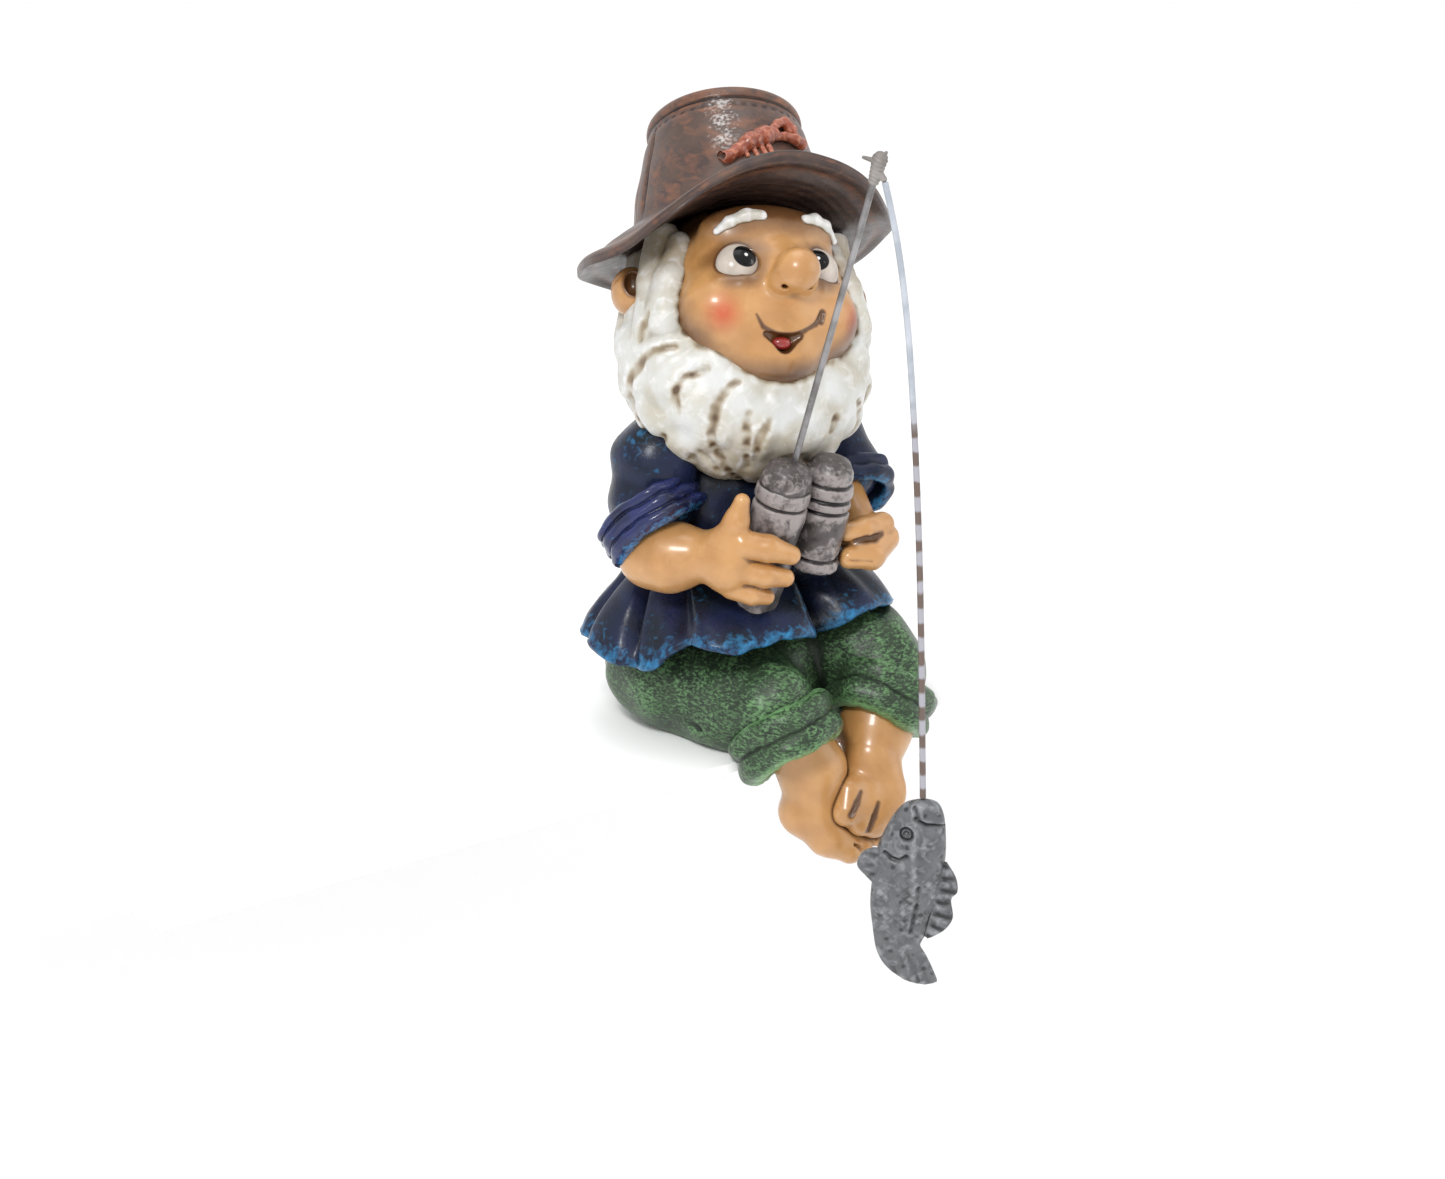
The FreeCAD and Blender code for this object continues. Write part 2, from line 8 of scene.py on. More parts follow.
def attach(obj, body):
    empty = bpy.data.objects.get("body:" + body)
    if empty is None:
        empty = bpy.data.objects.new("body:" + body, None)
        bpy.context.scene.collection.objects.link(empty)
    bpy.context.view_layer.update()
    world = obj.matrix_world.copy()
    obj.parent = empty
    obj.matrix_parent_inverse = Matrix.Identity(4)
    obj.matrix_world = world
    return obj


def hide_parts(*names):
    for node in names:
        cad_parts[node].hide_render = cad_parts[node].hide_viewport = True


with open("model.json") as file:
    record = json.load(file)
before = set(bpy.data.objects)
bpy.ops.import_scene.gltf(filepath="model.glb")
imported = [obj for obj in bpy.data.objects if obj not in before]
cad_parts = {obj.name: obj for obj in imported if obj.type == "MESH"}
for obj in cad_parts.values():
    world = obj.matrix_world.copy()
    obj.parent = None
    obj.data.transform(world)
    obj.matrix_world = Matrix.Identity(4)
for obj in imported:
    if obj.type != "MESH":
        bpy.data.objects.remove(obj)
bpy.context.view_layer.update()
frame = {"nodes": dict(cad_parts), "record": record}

# A painted resin garden gnome that sits on a shelf edge and fishes.
# Shapes are worked out in millimetres and turned to metres when a mesh is made.
mm = 0.001
record = frame["record"]
joints = {joint["name"]: joint for joint in record["behaviour"]["joints"]}
rodTip = np.array(joints["line_sway"]["pos_m"]) / mm
rodAxis = np.array(joints["rod_pull"]["axis"])
fishMouth = np.array(joints["fish_swing"]["pos_m"]) / mm


# arrays and directions

def unit(v):
    v = np.asarray(v, float)
    return v / np.linalg.norm(v)


def axesAlong(direction, near=(0, 1, 0.01)):
    # three columns: the last runs along the direction, the middle one is as near as it can be to "near"
    z = unit(direction)
    x = unit(np.cross(near, z))
    return np.column_stack([x, np.cross(z, x), z])


def turnAbout(axis, degrees):
    return np.array(Matrix.Rotation(math.radians(degrees), 3, axis))


def size(v):
    return np.sqrt((v * v).sum(-1))


def ease(x):
    # 0 below 0, 1 above 1, smooth between
    x = np.clip(x, 0, 1)
    return x * x * (3 - 2 * x)


# distance fields: below zero inside, millimetres outside

def egg(p, centre, radii, axes=None):
    # an ellipsoid: the scaled length, less one, put back to millimetres by its own slope
    q = p - np.asarray(centre, np.float32)
    if axes is not None:
        q = q @ np.asarray(axes, np.float32)
    r = np.asarray(radii, np.float32)
    a = size(q / r)
    return a * (a - 1) / np.maximum(size(q / (r * r)), 1e-5)


def limb(p, start, end, startRadius, endRadius):
    # the distance from a segment, less a radius that changes along it
    start, end = np.asarray(start, np.float32), np.asarray(end, np.float32)
    way = end - start
    t = np.clip(((p - start) @ way) / (way @ way), 0, 1)
    return size(p - start - t[..., None] * way) - (startRadius + (endRadius - startRadius) * t)


def joined(a, b, soft):
    # the nearer of two fields, rounded over a distance "soft" where they meet
    blend = np.clip(0.5 + 0.5 * (b - a) / soft, 0, 1)
    return b * (1 - blend) + a * blend - soft * blend * (1 - blend)


def cutBy(a, b, soft):
    # a without b, with the rim rounded
    return -joined(-a, b, soft)


def chain(p, points, radii, soft):
    # limbs one after another
    field = limb(p, points[0], points[1], radii[0], radii[1])
    for i in range(1, len(points) - 1):
        field = joined(field, limb(p, points[i], points[i + 1], radii[i], radii[i + 1]), soft)
    return field


# meshes

def fieldSurface(field, low, high, step):
    # Samples the field on a grid, finely only near the surface. Each cell that the surface crosses gets
    # one point, the mean of its edge crossings, and each crossed edge gets a face. Points are then
    # slid down the field's slope until they lie on the surface.
    low, high = np.asarray(low, float), np.asarray(high, float)
    coarse = 4
    blocks = np.ceil((high - low) / (step * coarse)).astype(int)
    blockAxes = [low[i] + (np.arange(blocks[i]) + 0.5) * step * coarse for i in range(3)]
    centres = np.stack(np.meshgrid(*blockAxes, indexing="ij"), -1).astype(np.float32)
    rough = field(centres)
    near = np.abs(rough) < step * coarse * 1.9
    values = rough.repeat(coarse, 0).repeat(coarse, 1).repeat(coarse, 2).astype(np.float32)
    index = np.argwhere(near.repeat(coarse, 0).repeat(coarse, 1).repeat(coarse, 2))
    points = (low + (index + 0.5) * step).astype(np.float32)
    for part in np.array_split(np.arange(len(index)), max(1, len(index) // 400000)):
        values[tuple(index[part].T)] = field(points[part])
    shape = np.array(values.shape)
    cellIds, positions = [], []
    for axis in range(3):
        after = np.zeros(3, int)
        after[axis] = 1
        lower = values[tuple(slice(0, n - 1 if i == axis else n) for i, n in enumerate(shape))]
        upper = values[tuple(slice(1 if i == axis else 0, n) for i, n in enumerate(shape))]
        at = np.argwhere((lower < 0) != (upper < 0))
        first, second = values[tuple(at.T)], values[tuple((at + after).T)]
        crossing = at + (first / (first - second))[:, None] * after
        stepB, stepC = np.roll(after, 1), np.roll(after, 2)
        corners = [at, at - stepB, at - stepB - stepC, at - stepC]
        ids = np.stack([np.ravel_multi_index(np.maximum(corner, 0).T, shape) for corner in corners], 1)
        ids = np.where((first < 0)[:, None], ids, ids[:, ::-1])
        cellIds.append(ids)
        positions.append(np.repeat(crossing, 4, 0))
    ids = np.concatenate(cellIds)
    _, faces = np.unique(ids.ravel(), return_inverse=True)
    crossings = np.concatenate(positions)
    counts = np.bincount(faces)
    verts = np.stack([np.bincount(faces, crossings[:, i]) / counts for i in range(3)], 1)
    verts = low + (verts + 0.5) * step
    for _ in range(2):
        verts = verts - slopeStep(field, verts, step)
    return verts, faces.reshape(-1, 4)


def slopeStep(field, verts, step):
    # how far a point must slide down the slope to reach zero, at most half a step
    h = step * 0.5
    value = field(verts.astype(np.float32))
    slope = np.stack([field((verts + np.eye(3)[i] * h).astype(np.float32)) - value for i in range(3)], 1) / h
    move = value[:, None] * slope / np.maximum((slope * slope).sum(1), 0.05)[:, None]
    return move * np.minimum(1, 0.5 * step / np.maximum(size(move), 1e-6))[:, None]


def gridFaces(rows, columns, closedRows=False, closedColumns=True):
    # quads of a grid; a closed direction wraps round
    r = np.arange(rows if closedRows else rows - 1)
    c = np.arange(columns if closedColumns else columns - 1)
    r, c = np.meshgrid(r, c, indexing="ij")
    r1, c1 = (r + 1) % rows, (c + 1) % columns
    return np.stack([r * columns + c, r * columns + c1, r1 * columns + c1, r1 * columns + c],
                    -1).reshape(-1, 4)


def normalsOf(verts, faces):
    # each point's mean of its faces' area vectors
    a, b, c, d = (verts[faces[:, i]] for i in range(4))
    area = np.cross(c - a, d - b)
    total = np.zeros_like(verts)
    for i in range(3):
        for j in range(4):
            total[:, i] += np.bincount(faces[:, j], area[:, i], len(verts))
    return total / np.maximum(size(total), 1e-12)[:, None]


def reliefOf(verts, faces, rounds, depth):
    # How far each point stands proud of the same surface smoothed over: 1 on a ridge, -1 in a groove.
    ends = np.concatenate([faces[:, [i, (i + 1) % 4]] for i in range(4)])
    ends = np.concatenate([ends, ends[:, ::-1]])
    count = np.maximum(np.bincount(ends[:, 0], minlength=len(verts)), 1)
    smooth = verts.copy()
    for _ in range(rounds):
        mean = np.stack([np.bincount(ends[:, 0], smooth[ends[:, 1], i], len(verts)) for i in range(3)], 1)
        smooth = 0.4 * smooth + 0.6 * mean / count[:, None]
    proud = ((verts - smooth) * normalsOf(verts, faces)).sum(1)
    return np.clip(proud / depth, -1, 1)


def addPiece(name, verts, faces, body, material, nodes=(), marks=None):
    # makes the mesh in metres, with float attributes for the paint, and hangs it on its body
    mesh = bpy.data.meshes.new(name)
    mesh.from_pydata(verts * mm, [], faces.tolist() if isinstance(faces, np.ndarray) else faces)
    for label, values in (marks or {}).items():
        attribute = mesh.attributes.new(label, "FLOAT", "POINT")
        attribute.data.foreach_set("value", np.asarray(values, np.float32))
    mesh.polygons.foreach_set("use_smooth", np.ones(len(mesh.polygons), bool))
    mesh.materials.append(material)
    mesh.update()
    piece = bpy.data.objects.new(name, mesh)
    bpy.context.collection.objects.link(piece)
    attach(piece, body)
    if nodes:
        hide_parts(*nodes)
    print(f"{name}: {len(faces)} faces")
    return piece


def paintMarks(verts, faces, rounds=14, depth=0.12, near=(), reach=0.7):
    # relief for wash and dry brush, and contact for painted shade against a neighbour
    relief = reliefOf(verts, faces, rounds, depth)
    contactAndShade = np.zeros(len(verts))
    for field in near:
        contactAndShade = np.maximum(contactAndShade, 1 - np.abs(field(verts.astype(np.float32))) / reach)
    return {"relief": relief, "contactAndShade": np.clip(contactAndShade, 0, 1)}


def turnedGrid(outline, columns):
    # revolves an outline of (radius, height) rows about Z
    outline = np.asarray(outline, float)
    angle = np.arange(columns) * 2 * np.pi / columns
    radius = np.repeat(outline[:, :1], columns, 1)
    height = np.repeat(outline[:, 1:], columns, 1)
    turn = np.repeat(angle[None], len(outline), 0)
    return np.stack([radius * np.cos(turn), radius * np.sin(turn), height], -1).reshape(-1, 3)


def smoothRows(knots, count):
    # a Catmull-Rom curve through the knots, evenly spaced along its length
    k = np.asarray(knots, float)
    k = np.vstack([2 * k[0] - k[1], k, 2 * k[-1] - k[-2]])
    t = np.linspace(0, len(k) - 3, 400)
    i = np.minimum(t.astype(int), len(k) - 4)
    f = (t - i)[:, None]
    a, b, c, d = k[i], k[i + 1], k[i + 2], k[i + 3]
    curve = 0.5 * (2 * b + (c - a) * f + (2 * a - 5 * b + 4 * c - d) * f ** 2
                   + (3 * b - a - 3 * c + d) * f ** 3)
    run = np.concatenate([[0], np.cumsum(size(np.diff(curve, axis=0)))])
    return np.stack([np.interp(np.linspace(0, run[-1], count), run, curve[:, j])
                     for j in range(k.shape[1])], 1)


def waves(p, length, seed):
    # smooth uneven waves: six sines in seeded directions, about -1 to 1
    rng = np.random.default_rng(seed)
    total = np.zeros(p.shape[:-1])
    for _ in range(6):
        way = unit(rng.normal(size=3)) * 2 * np.pi / (length * rng.uniform(0.7, 1.5))
        total += np.sin(p @ way + rng.uniform(0, 6.28))
    return total / 3.2


# materials

def colour(code):
    # sRGB hex to linear
    parts = [int(code[i:i + 2], 16) / 255 for i in (0, 2, 4)]
    return (*[c / 12.92 if c <= 0.04045 else ((c + 0.055) / 1.055) ** 2.4 for c in parts], 1)


def add(tree, kind, inputs=(), output=0, **settings):
    # adds a node; each input takes a value or another node's output, and the chosen output is given back
    made = tree.nodes.new("ShaderNode" + kind)
    for key, value in settings.items():
        setattr(made, key, value)
    for key, value in inputs.items() if isinstance(inputs, dict) else enumerate(inputs):
        if isinstance(value, bpy.types.NodeSocket):
            tree.links.new(value, made.inputs[key])
        else:
            made.inputs[key].default_value = value
    return made.outputs[output] if len(made.outputs) else made


perMm = (1000, 1000, 1000)  # metres to millimetres


def mixSockets(factor, first, second):
    # a mix node's inputs 0, 6 and 7 are the factor and the two colours, and its output 2 is the mixed colour
    return dict(zip((0, 6, 7), (factor, first, second)))


def paintedResin(name, look, extra=None):
    # Acrylic paint on cast resin under a clear varnish: a mottled base coat, a thin dark wash that
    # stays in the grooves and is also laid on as painted shade where parts meet, a lighter colour dragged
    # over the ridges, and an uneven gloss.
    material = bpy.data.materials.new(name)
    material.use_nodes = True
    tree = material.node_tree
    tree.nodes.clear()
    place = add(tree, "TexCoord", output="Object")
    inMm = add(tree, "Mapping", {"Vector": place, "Scale": perMm})
    relief = add(tree, "Attribute", output="Fac", attribute_name="relief")
    contactAndShade = add(tree, "Attribute", output="Fac", attribute_name="contactAndShade")
    blotch = add(tree, "TexNoise", {"Vector": inMm, "Scale": 1 / look["blotch"], "Detail": 4.0}, "Fac")
    stretch = add(tree, "Mapping", {"Vector": inMm, "Rotation": look.get("drag", (0, 0, 0)),
                                    "Scale": look.get("stretch", (1, 1, 1))})
    bristle = add(tree, "TexNoise", {"Vector": stretch, "Scale": 1 / look["bristle"], "Detail": 5.0,
                                     "Distortion": 0.6}, "Fac")
    uneven = add(tree, "Math", (blotch, 0.5), operation="SUBTRACT")
    mottle = add(tree, "MapRange", (blotch, 0.35, 0.65, 0.0, 1.0))
    base = add(tree, "Mix", mixSockets(mottle, colour(look["base"]), colour(look["second"])), 2,
               data_type="RGBA")
    if extra:
        base = extra(tree, base, place, inMm, blotch)

    # the dry brush: relief lifted by the bristles and the patches, then cut at a level
    ridge = add(tree, "Math", (relief, look["brushGain"]), operation="MULTIPLY")
    ridge = add(tree, "Math", (ridge, bristle), operation="ADD")
    patch = add(tree, "Math", (uneven, look.get("patch", 0.0)), operation="MULTIPLY")
    ridge = add(tree, "Math", (ridge, patch), operation="ADD")
    ridge = add(tree, "MapRange", (ridge, look["brushFrom"], look["brushFrom"] + look["brushSoft"], 0.0,
                                   look["brushMost"]))
    base = add(tree, "Mix", mixSockets(ridge, base, colour(look["brush"])), 2, data_type="RGBA")

    # the wash in the grooves, and painted shade at the contacts and under overhangs, made uneven
    groove = add(tree, "Math", (relief, -look["washGain"]), operation="MULTIPLY")
    touch = add(tree, "Math", (contactAndShade, look.get("contactGain", 1.0)), operation="MULTIPLY")
    low = add(tree, "Math", (groove, touch), operation="MAXIMUM")
    drift = add(tree, "Math", (uneven, 0.7), operation="MULTIPLY")
    low = add(tree, "Math", (low, drift), operation="ADD")
    low = add(tree, "MapRange", (low, 0.12, 0.9, 0.0, look["washAndShadeMost"]))
    base = add(tree, "Mix", mixSockets(low, base, colour(look["washAndShade"])), 2, data_type="RGBA")

    grain = add(tree, "TexNoise", {"Vector": inMm, "Scale": 1 / look.get("grain", 0.35), "Detail": 3.0},
                "Fac")
    strokes = add(tree, "Math", (bristle, 1.5), operation="MULTIPLY")
    height = add(tree, "Math", (grain, strokes), operation="ADD")
    bump = add(tree, "Bump", {"Height": height, "Strength": look.get("bump", 0.25), "Distance": 0.0001})
    rough = add(tree, "MapRange", (bristle, 0.3, 0.7, look["gloss"] - 0.06, look["gloss"] + 0.1))
    shader = add(tree, "BsdfPrincipled", {
        "Base Color": base, "Roughness": rough, "Normal": bump, "IOR": look.get("ior", 1.48),
        "Coat Weight": look.get("coat", 0.35), "Coat Roughness": look.get("coatRough", 0.18),
        "Subsurface Weight": look.get("waxy", 0.0), "Subsurface Scale": 0.001})
    add(tree, "OutputMaterial", {"Surface": shader})
    return material


def spot(tree, place, centre, inner, outer):
    # 1 inside a ball about a point, fading to 0; lengths in mm
    gap = add(tree, "VectorMath", (place, tuple(np.asarray(centre) * mm)), "Value", operation="DISTANCE")
    return add(tree, "MapRange", (gap, inner * mm, outer * mm, 1.0, 0.0))


# camera, before anything is built
lookAt = Vector((-0.595, 6.519, 13.529)) * mm
eyePoint = Vector((-312.67, -423.01, 206.77)) * mm
lens = bpy.data.cameras.new("Camera")
lens.lens, lens.sensor_width = 115.85, 36
camera = bpy.data.objects.new("Camera", lens)
camera.location = eyePoint
camera.rotation_euler = (lookAt - eyePoint).to_track_quat("-Z", "Y").to_euler()
bpy.context.collection.objects.link(camera)
bpy.context.scene.camera = camera

# the head's own axes: x to the gnome's left, y to the back, z up through the crown
headCentre = np.array([0, 3.4, 50.0])
headAxes = turnAbout("Z", -14.2) @ turnAbout("X", -34) @ turnAbout("Y", 9.6)


def fromHead(points):
    return headCentre + np.asarray(points) @ headAxes.T


def toHead(points):
    return (points - headCentre) @ headAxes


# finishes
skinSpots = {"rightBlush": (-6.6, -12.3, -5.3), "leftBlush": (10.0, -10.3, -4.9), "blushSize": (0.6, 3.2)}


def addBlush(tree, base, place, inMm, blotch):
    # an airbrushed red on each cheek
    for label in ("rightBlush", "leftBlush"):
        near = spot(tree, place, fromHead(skinSpots[label]), *skinSpots["blushSize"])
        near = add(tree, "Math", (near, 1.6), operation="POWER")
        near = add(tree, "Math", (near, 0.8), operation="MULTIPLY")
        base = add(tree, "Mix", mixSockets(near, base, colour("b8492a")), 2, data_type="RGBA")
    return base


# smooth hand paint: soft gloss, brown wash in the creases, the same brown used as painted shade
skinPaint = paintedResin("SatinSkinEnamelOnResin", {
    "base": "b98a55", "second": "a97a48", "washAndShade": "4c2c12", "brush": "cfa473", "blotch": 4.0, "bristle": 2.2,
    "brushGain": 0.22, "brushFrom": 0.62, "brushSoft": 0.3, "brushMost": 0.5, "washGain": 0.8,
    "washAndShadeMost": 0.92,
    "gloss": 0.34, "grain": 1.2, "bump": 0.06, "coat": 0.4, "coatRough": 0.16, "waxy": 0.05}, addBlush)


def addHalo(tree, base, place, inMm, blotch):
    # a yellowish tint out of each cut and over the painted shade: partly the umber stain spreading thinly,
    # partly painted shade
    contactAndShade = add(tree, "Attribute", output="Fac", attribute_name="contactAndShade")
    uneven = add(tree, "Math", (blotch, 0.5), operation="SUBTRACT")
    uneven = add(tree, "Math", (uneven, 0.5), operation="MULTIPLY")
    stain = add(tree, "Math", (contactAndShade, uneven), operation="ADD")
    stain = add(tree, "MapRange", (stain, 0.02, 0.5, 0.0, 0.6))
    return add(tree, "Mix", mixSockets(stain, base, colour("ab9468")), 2, data_type="RGBA")


beardPaint = paintedResin("WhiteBeardPaintWithUmberWash", {  # chalky white, umber rubbed into the cuts
    "base": "c6c7c5", "second": "b4b1a6", "washAndShade": "4a3318", "brush": "dededf", "blotch": 4.0, "bristle": 1.4,
    "brushGain": 0.35, "brushFrom": 0.55, "brushSoft": 0.3, "brushMost": 0.8, "washGain": 0.95,
    "washAndShadeMost": 0.95,
    "gloss": 0.42, "grain": 1.0, "bump": 0.06, "coat": 0.25, "coatRough": 0.3, "waxy": 0.05}, addHalo)
# where the pale patch sits: worn paint and a painted highlight
scuffAndHighlight = {"from": (0.5, 7.7, 69.4), "middle": (1.8, 9.9, 71.0), "to": (2.9, 11.9, 72.3), "wide": 2.0}


def addScuffAndHighlight(tree, base, place, inMm, blotch):
    # a pale patch up the front of the crown, worn paint with a painted highlight on it: speckles that thin
    # out away from three points
    fine = add(tree, "TexNoise", {"Vector": inMm, "Scale": 2.4, "Detail": 5.0}, "Fac")
    for label in ("from", "middle", "to"):
        near = spot(tree, place, scuffAndHighlight[label], 0.3, scuffAndHighlight["wide"] + 1.2)
        lift = add(tree, "Math", (near, 0.35), operation="MULTIPLY")
        speckle = add(tree, "Math", (fine, lift), operation="ADD")
        speckle = add(tree, "MapRange", (speckle, 0.72, 0.9, 0.0, 0.75))
        speckle = add(tree, "Math", (speckle, near), operation="MULTIPLY")
        base = add(tree, "Mix", mixSockets(speckle, base, colour("c4c0be")), 2, data_type="RGBA")
    return base


hatPaint = paintedResin("AgedLeatherBrownPaint", {  # dark brown with rust dragged round it
    "base": "4f3d35", "second": "3c2d2b", "washAndShade": "150d0c", "brush": "8a5a3e", "blotch": 3.4, "bristle": 2.0,
    "brushGain": 0.25, "brushFrom": 0.46, "brushSoft": 0.5, "brushMost": 0.85, "patch": 0.6,
    "washGain": 0.9, "washAndShadeMost": 0.92,
    "gloss": 0.38, "grain": 0.5, "bump": 0.35, "coat": 0.2, "coatRough": 0.2, "ior": 1.38,
    "stretch": (1, 1, 2.2),
    "drag": (0.6, 0.5, 0)}, addScuffAndHighlight)
copperPaint = paintedResin("CopperRedPaint", {  # a small moulding picked out in copper red
    "base": "8e442c", "second": "773824", "washAndShade": "200e0a", "brush": "be785c", "blotch": 1.2, "bristle": 0.6,
    "brushGain": 0.4, "brushFrom": 0.55, "brushSoft": 0.25, "brushMost": 0.8, "washGain": 1.2,
    "washAndShadeMost": 0.9,
    "gloss": 0.34, "grain": 0.4, "bump": 0.2})
tunicPaint = paintedResin("NavyTunicDryBrushedBlue", {  # near-black navy, bright blue caught on the edges
    "base": "1b2340", "second": "10171f", "washAndShade": "040507", "brush": "2f7cae", "blotch": 4.5, "bristle": 0.8,
    "brushGain": 0.34, "brushFrom": 0.68, "brushSoft": 0.4, "brushMost": 0.85, "washGain": 1.1,
    "washAndShadeMost": 0.95,
    "gloss": 0.3, "grain": 0.5, "bump": 0.3, "coat": 0.12, "coatRough": 0.2, "ior": 1.3, "patch": 0.7})
cuffPaint = paintedResin("InkBlueCuffGloss", {  # the rolled sleeves: ink blue under a thicker varnish
    "base": "222a58", "second": "181d38", "washAndShade": "05060b", "brush": "3f86bd", "blotch": 3.0, "bristle": 0.8,
    "brushGain": 0.4, "brushFrom": 0.72, "brushSoft": 0.3, "brushMost": 0.85, "washGain": 1.2,
    "washAndShadeMost": 0.95,
    "gloss": 0.24, "grain": 0.5, "bump": 0.25, "coat": 0.35, "coatRough": 0.12, "ior": 1.33})
trouserPaint = paintedResin("GreenTrousersScrubbedLight", {  # black-green scrubbed with short bright strokes
    "base": "2f402d", "second": "212c22", "washAndShade": "0b100c", "brush": "73a06b", "blotch": 3.2, "bristle": 0.5,
    "brushGain": 0.3, "brushFrom": 0.5, "brushSoft": 0.36, "brushMost": 0.85, "patch": 0.35,
    "washGain": 1.1, "washAndShadeMost": 0.93,
    "gloss": 0.36, "grain": 0.4, "bump": 0.5, "coat": 0.12, "coatRough": 0.25, "ior": 1.35,
    "stretch": (1, 1, 1.9),
    "drag": (0.3, -0.9, 0.4)})
pewterPaint = paintedResin("PewterPaintWithBlackWash", {  # grey-brown metal paint, rubbed bright on the rims
    "base": "544d4e", "second": "3f3a38", "washAndShade": "0c0a0b", "brush": "9a9290", "blotch": 2.0, "bristle": 0.7,
    "brushGain": 0.45, "brushFrom": 0.56, "brushSoft": 0.3, "brushMost": 0.8, "washGain": 1.4,
    "washAndShadeMost": 0.97,
    "gloss": 0.36, "grain": 0.4, "bump": 0.35, "coat": 0.15, "coatRough": 0.2, "ior": 1.4})
tonguePaint = paintedResin("RedTonguePaint", {  # small glossy red
    "base": "8c221c", "second": "771a16", "washAndShade": "2c0908", "brush": "b8483e", "blotch": 1.0, "bristle": 0.6,
    "brushGain": 0.3, "brushFrom": 0.6, "brushSoft": 0.3, "brushMost": 0.5, "washGain": 0.8, "washAndShadeMost": 0.7,
    "gloss": 0.25, "bump": 0.08, "coat": 0.6})

# head: skull, cheeks, nose and ears in one field
face = {"rightEye": (-4.2, -11.55, 0.7), "leftEye": (5.4, -11.1, 0.9), "noseAt": (1.4, -16.2, -0.9),
        "noseRadius": 2.65}
smileLine = [(-2.9, -5.6), (-2.1, -7.0), (-0.4, -7.8), (1.4, -7.8), (3.0, -7.2), (4.4, -6.3), (5.0, -5.3)]


def bareFace(q):
    field = joined(egg(q, (0, 0.3, 0.2), (11.7, 11.7, 12.4)), egg(q, (0.3, -4.0, -0.8), (10.5, 10.0, 10.6)),
                   1.5)
    field = joined(field, egg(q, (0.4, -5.6, -4.8), (10.0, 7.6, 7.3)), 1.5)  # the round jaw
    field = joined(field, egg(q, (-6.0, -8.7, -3.6), (4.5, 4.4, 4.1)), 2.2)
    field = joined(field, egg(q, (6.9, -7.9, -4.0), (4.2, 4.4, 4.1)), 2.2)
    field = joined(field, egg(q, (0.9, -9.9, -5.4), (4.4, 3.0, 3.4)), 2.6)
    field = joined(field, egg(q, (0.9, -9.2, -9.6), (4.2, 2.9, 2.5)), 2.2)
    return joined(field, egg(q, (0.4, -9.2, 6.2), (8.2, 3.0, 2.8)), 2.2)


def onFace(x, z, sink=0.0):
    # the point of the face at this x and z: halving the gap between outside and inside
    front, back = -24.0, -2.0
    for _ in range(20):
        middle = (front + back) / 2
        if bareFace(np.array([[x, middle, z]], np.float32))[0] > 0:
            front = middle
        else:
            back = middle
    return np.array([x, front + sink, z])


smile = [onFace(x, z) for x, z in smileLine]
openMouth = [onFace(-1.6, -7.7, 0.2), onFace(0.6, -8.7, 0.4), onFace(2.4, -7.8, 0.2)]
dimple = [onFace(5.1, -5.9), onFace(5.3, -4.9)]


def eyeball(q, label):
    return egg(q, face[label], (2.75, 2.0, 2.75))


def smileField(q):
    field = chain(q, smile, [0.02, 0.1, 0.14, 0.14, 0.15, 0.18, 0.26], 0.2)
    field = joined(field, chain(q, openMouth, [0.35, 1.05, 0.4], 0.4), 0.25)
    return joined(field, limb(q, *dimple, 0.32, 0.38), 0.2)


def earHollow(q):
    mirrored = np.abs(q * (1, 0, 0)) + q * (0, 1, 1)
    return egg(mirrored.astype(np.float32), (13.8, -1.9, 1.5), (1.05, 1.7, 1.4))


def headField(q):
    field = bareFace(q)
    nose = np.array(face["noseAt"])
    field = joined(field, limb(q, (0.5, -12.2, 2.4), nose + (0, 1.8, 0.3), 1.1, 1.9), 1.6)
    field = joined(field, egg(q, nose + (-1.5, 1.5, -1.0), (1.5, 1.6, 1.4)), 1.0)
    field = joined(field, egg(q, nose + (1.5, 1.6, -0.9), (1.4, 1.6, 1.3)), 1.0)
    field = joined(field, egg(q, nose, (face["noseRadius"],) * 3), 0.7)
    for side in (-1.75, 1.75):
        field = cutBy(field, limb(q, nose + (side, -0.2, -2.6), nose + (side * 0.8, 0.9, -1.4), 0.42, 0.34),
                      0.2)
    for label in ("rightEye", "leftEye"):
        centre = np.array(face[label])
        field = cutBy(field, egg(q, centre + (0.2, -2.9, 0.25), (2.1, 2.4, 2.15)), 0.15)
        outward = 1 if centre[0] > 0 else -1
        lid = [onFace(centre[0] - 2.2 * outward, centre[2] - 2.6, 0.75),
               onFace(centre[0], centre[2] - 2.5, 0.55),
               onFace(centre[0] + 2.4 * outward, centre[2] - 2.3, 0.75)]
        field = joined(field, chain(q, lid, [0.6, 0.75, 0.6], 0.3), 0.8)
    field = cutBy(field, smileField(q), 0.18)
    for side in (-1, 1):
        field = joined(field, egg(q, (side * 13.5, 0.7, 1.3), (2.3, 2.9, 2.9)), 0.7)
        field = cutBy(field, earHollow(q), 0.3)
        field = cutBy(field, limb(q, (side * 15.3, -0.4, 2.9), (side * 15.5, 1.0, 1.8), 0.35, 0.3), 0.4)
    return field


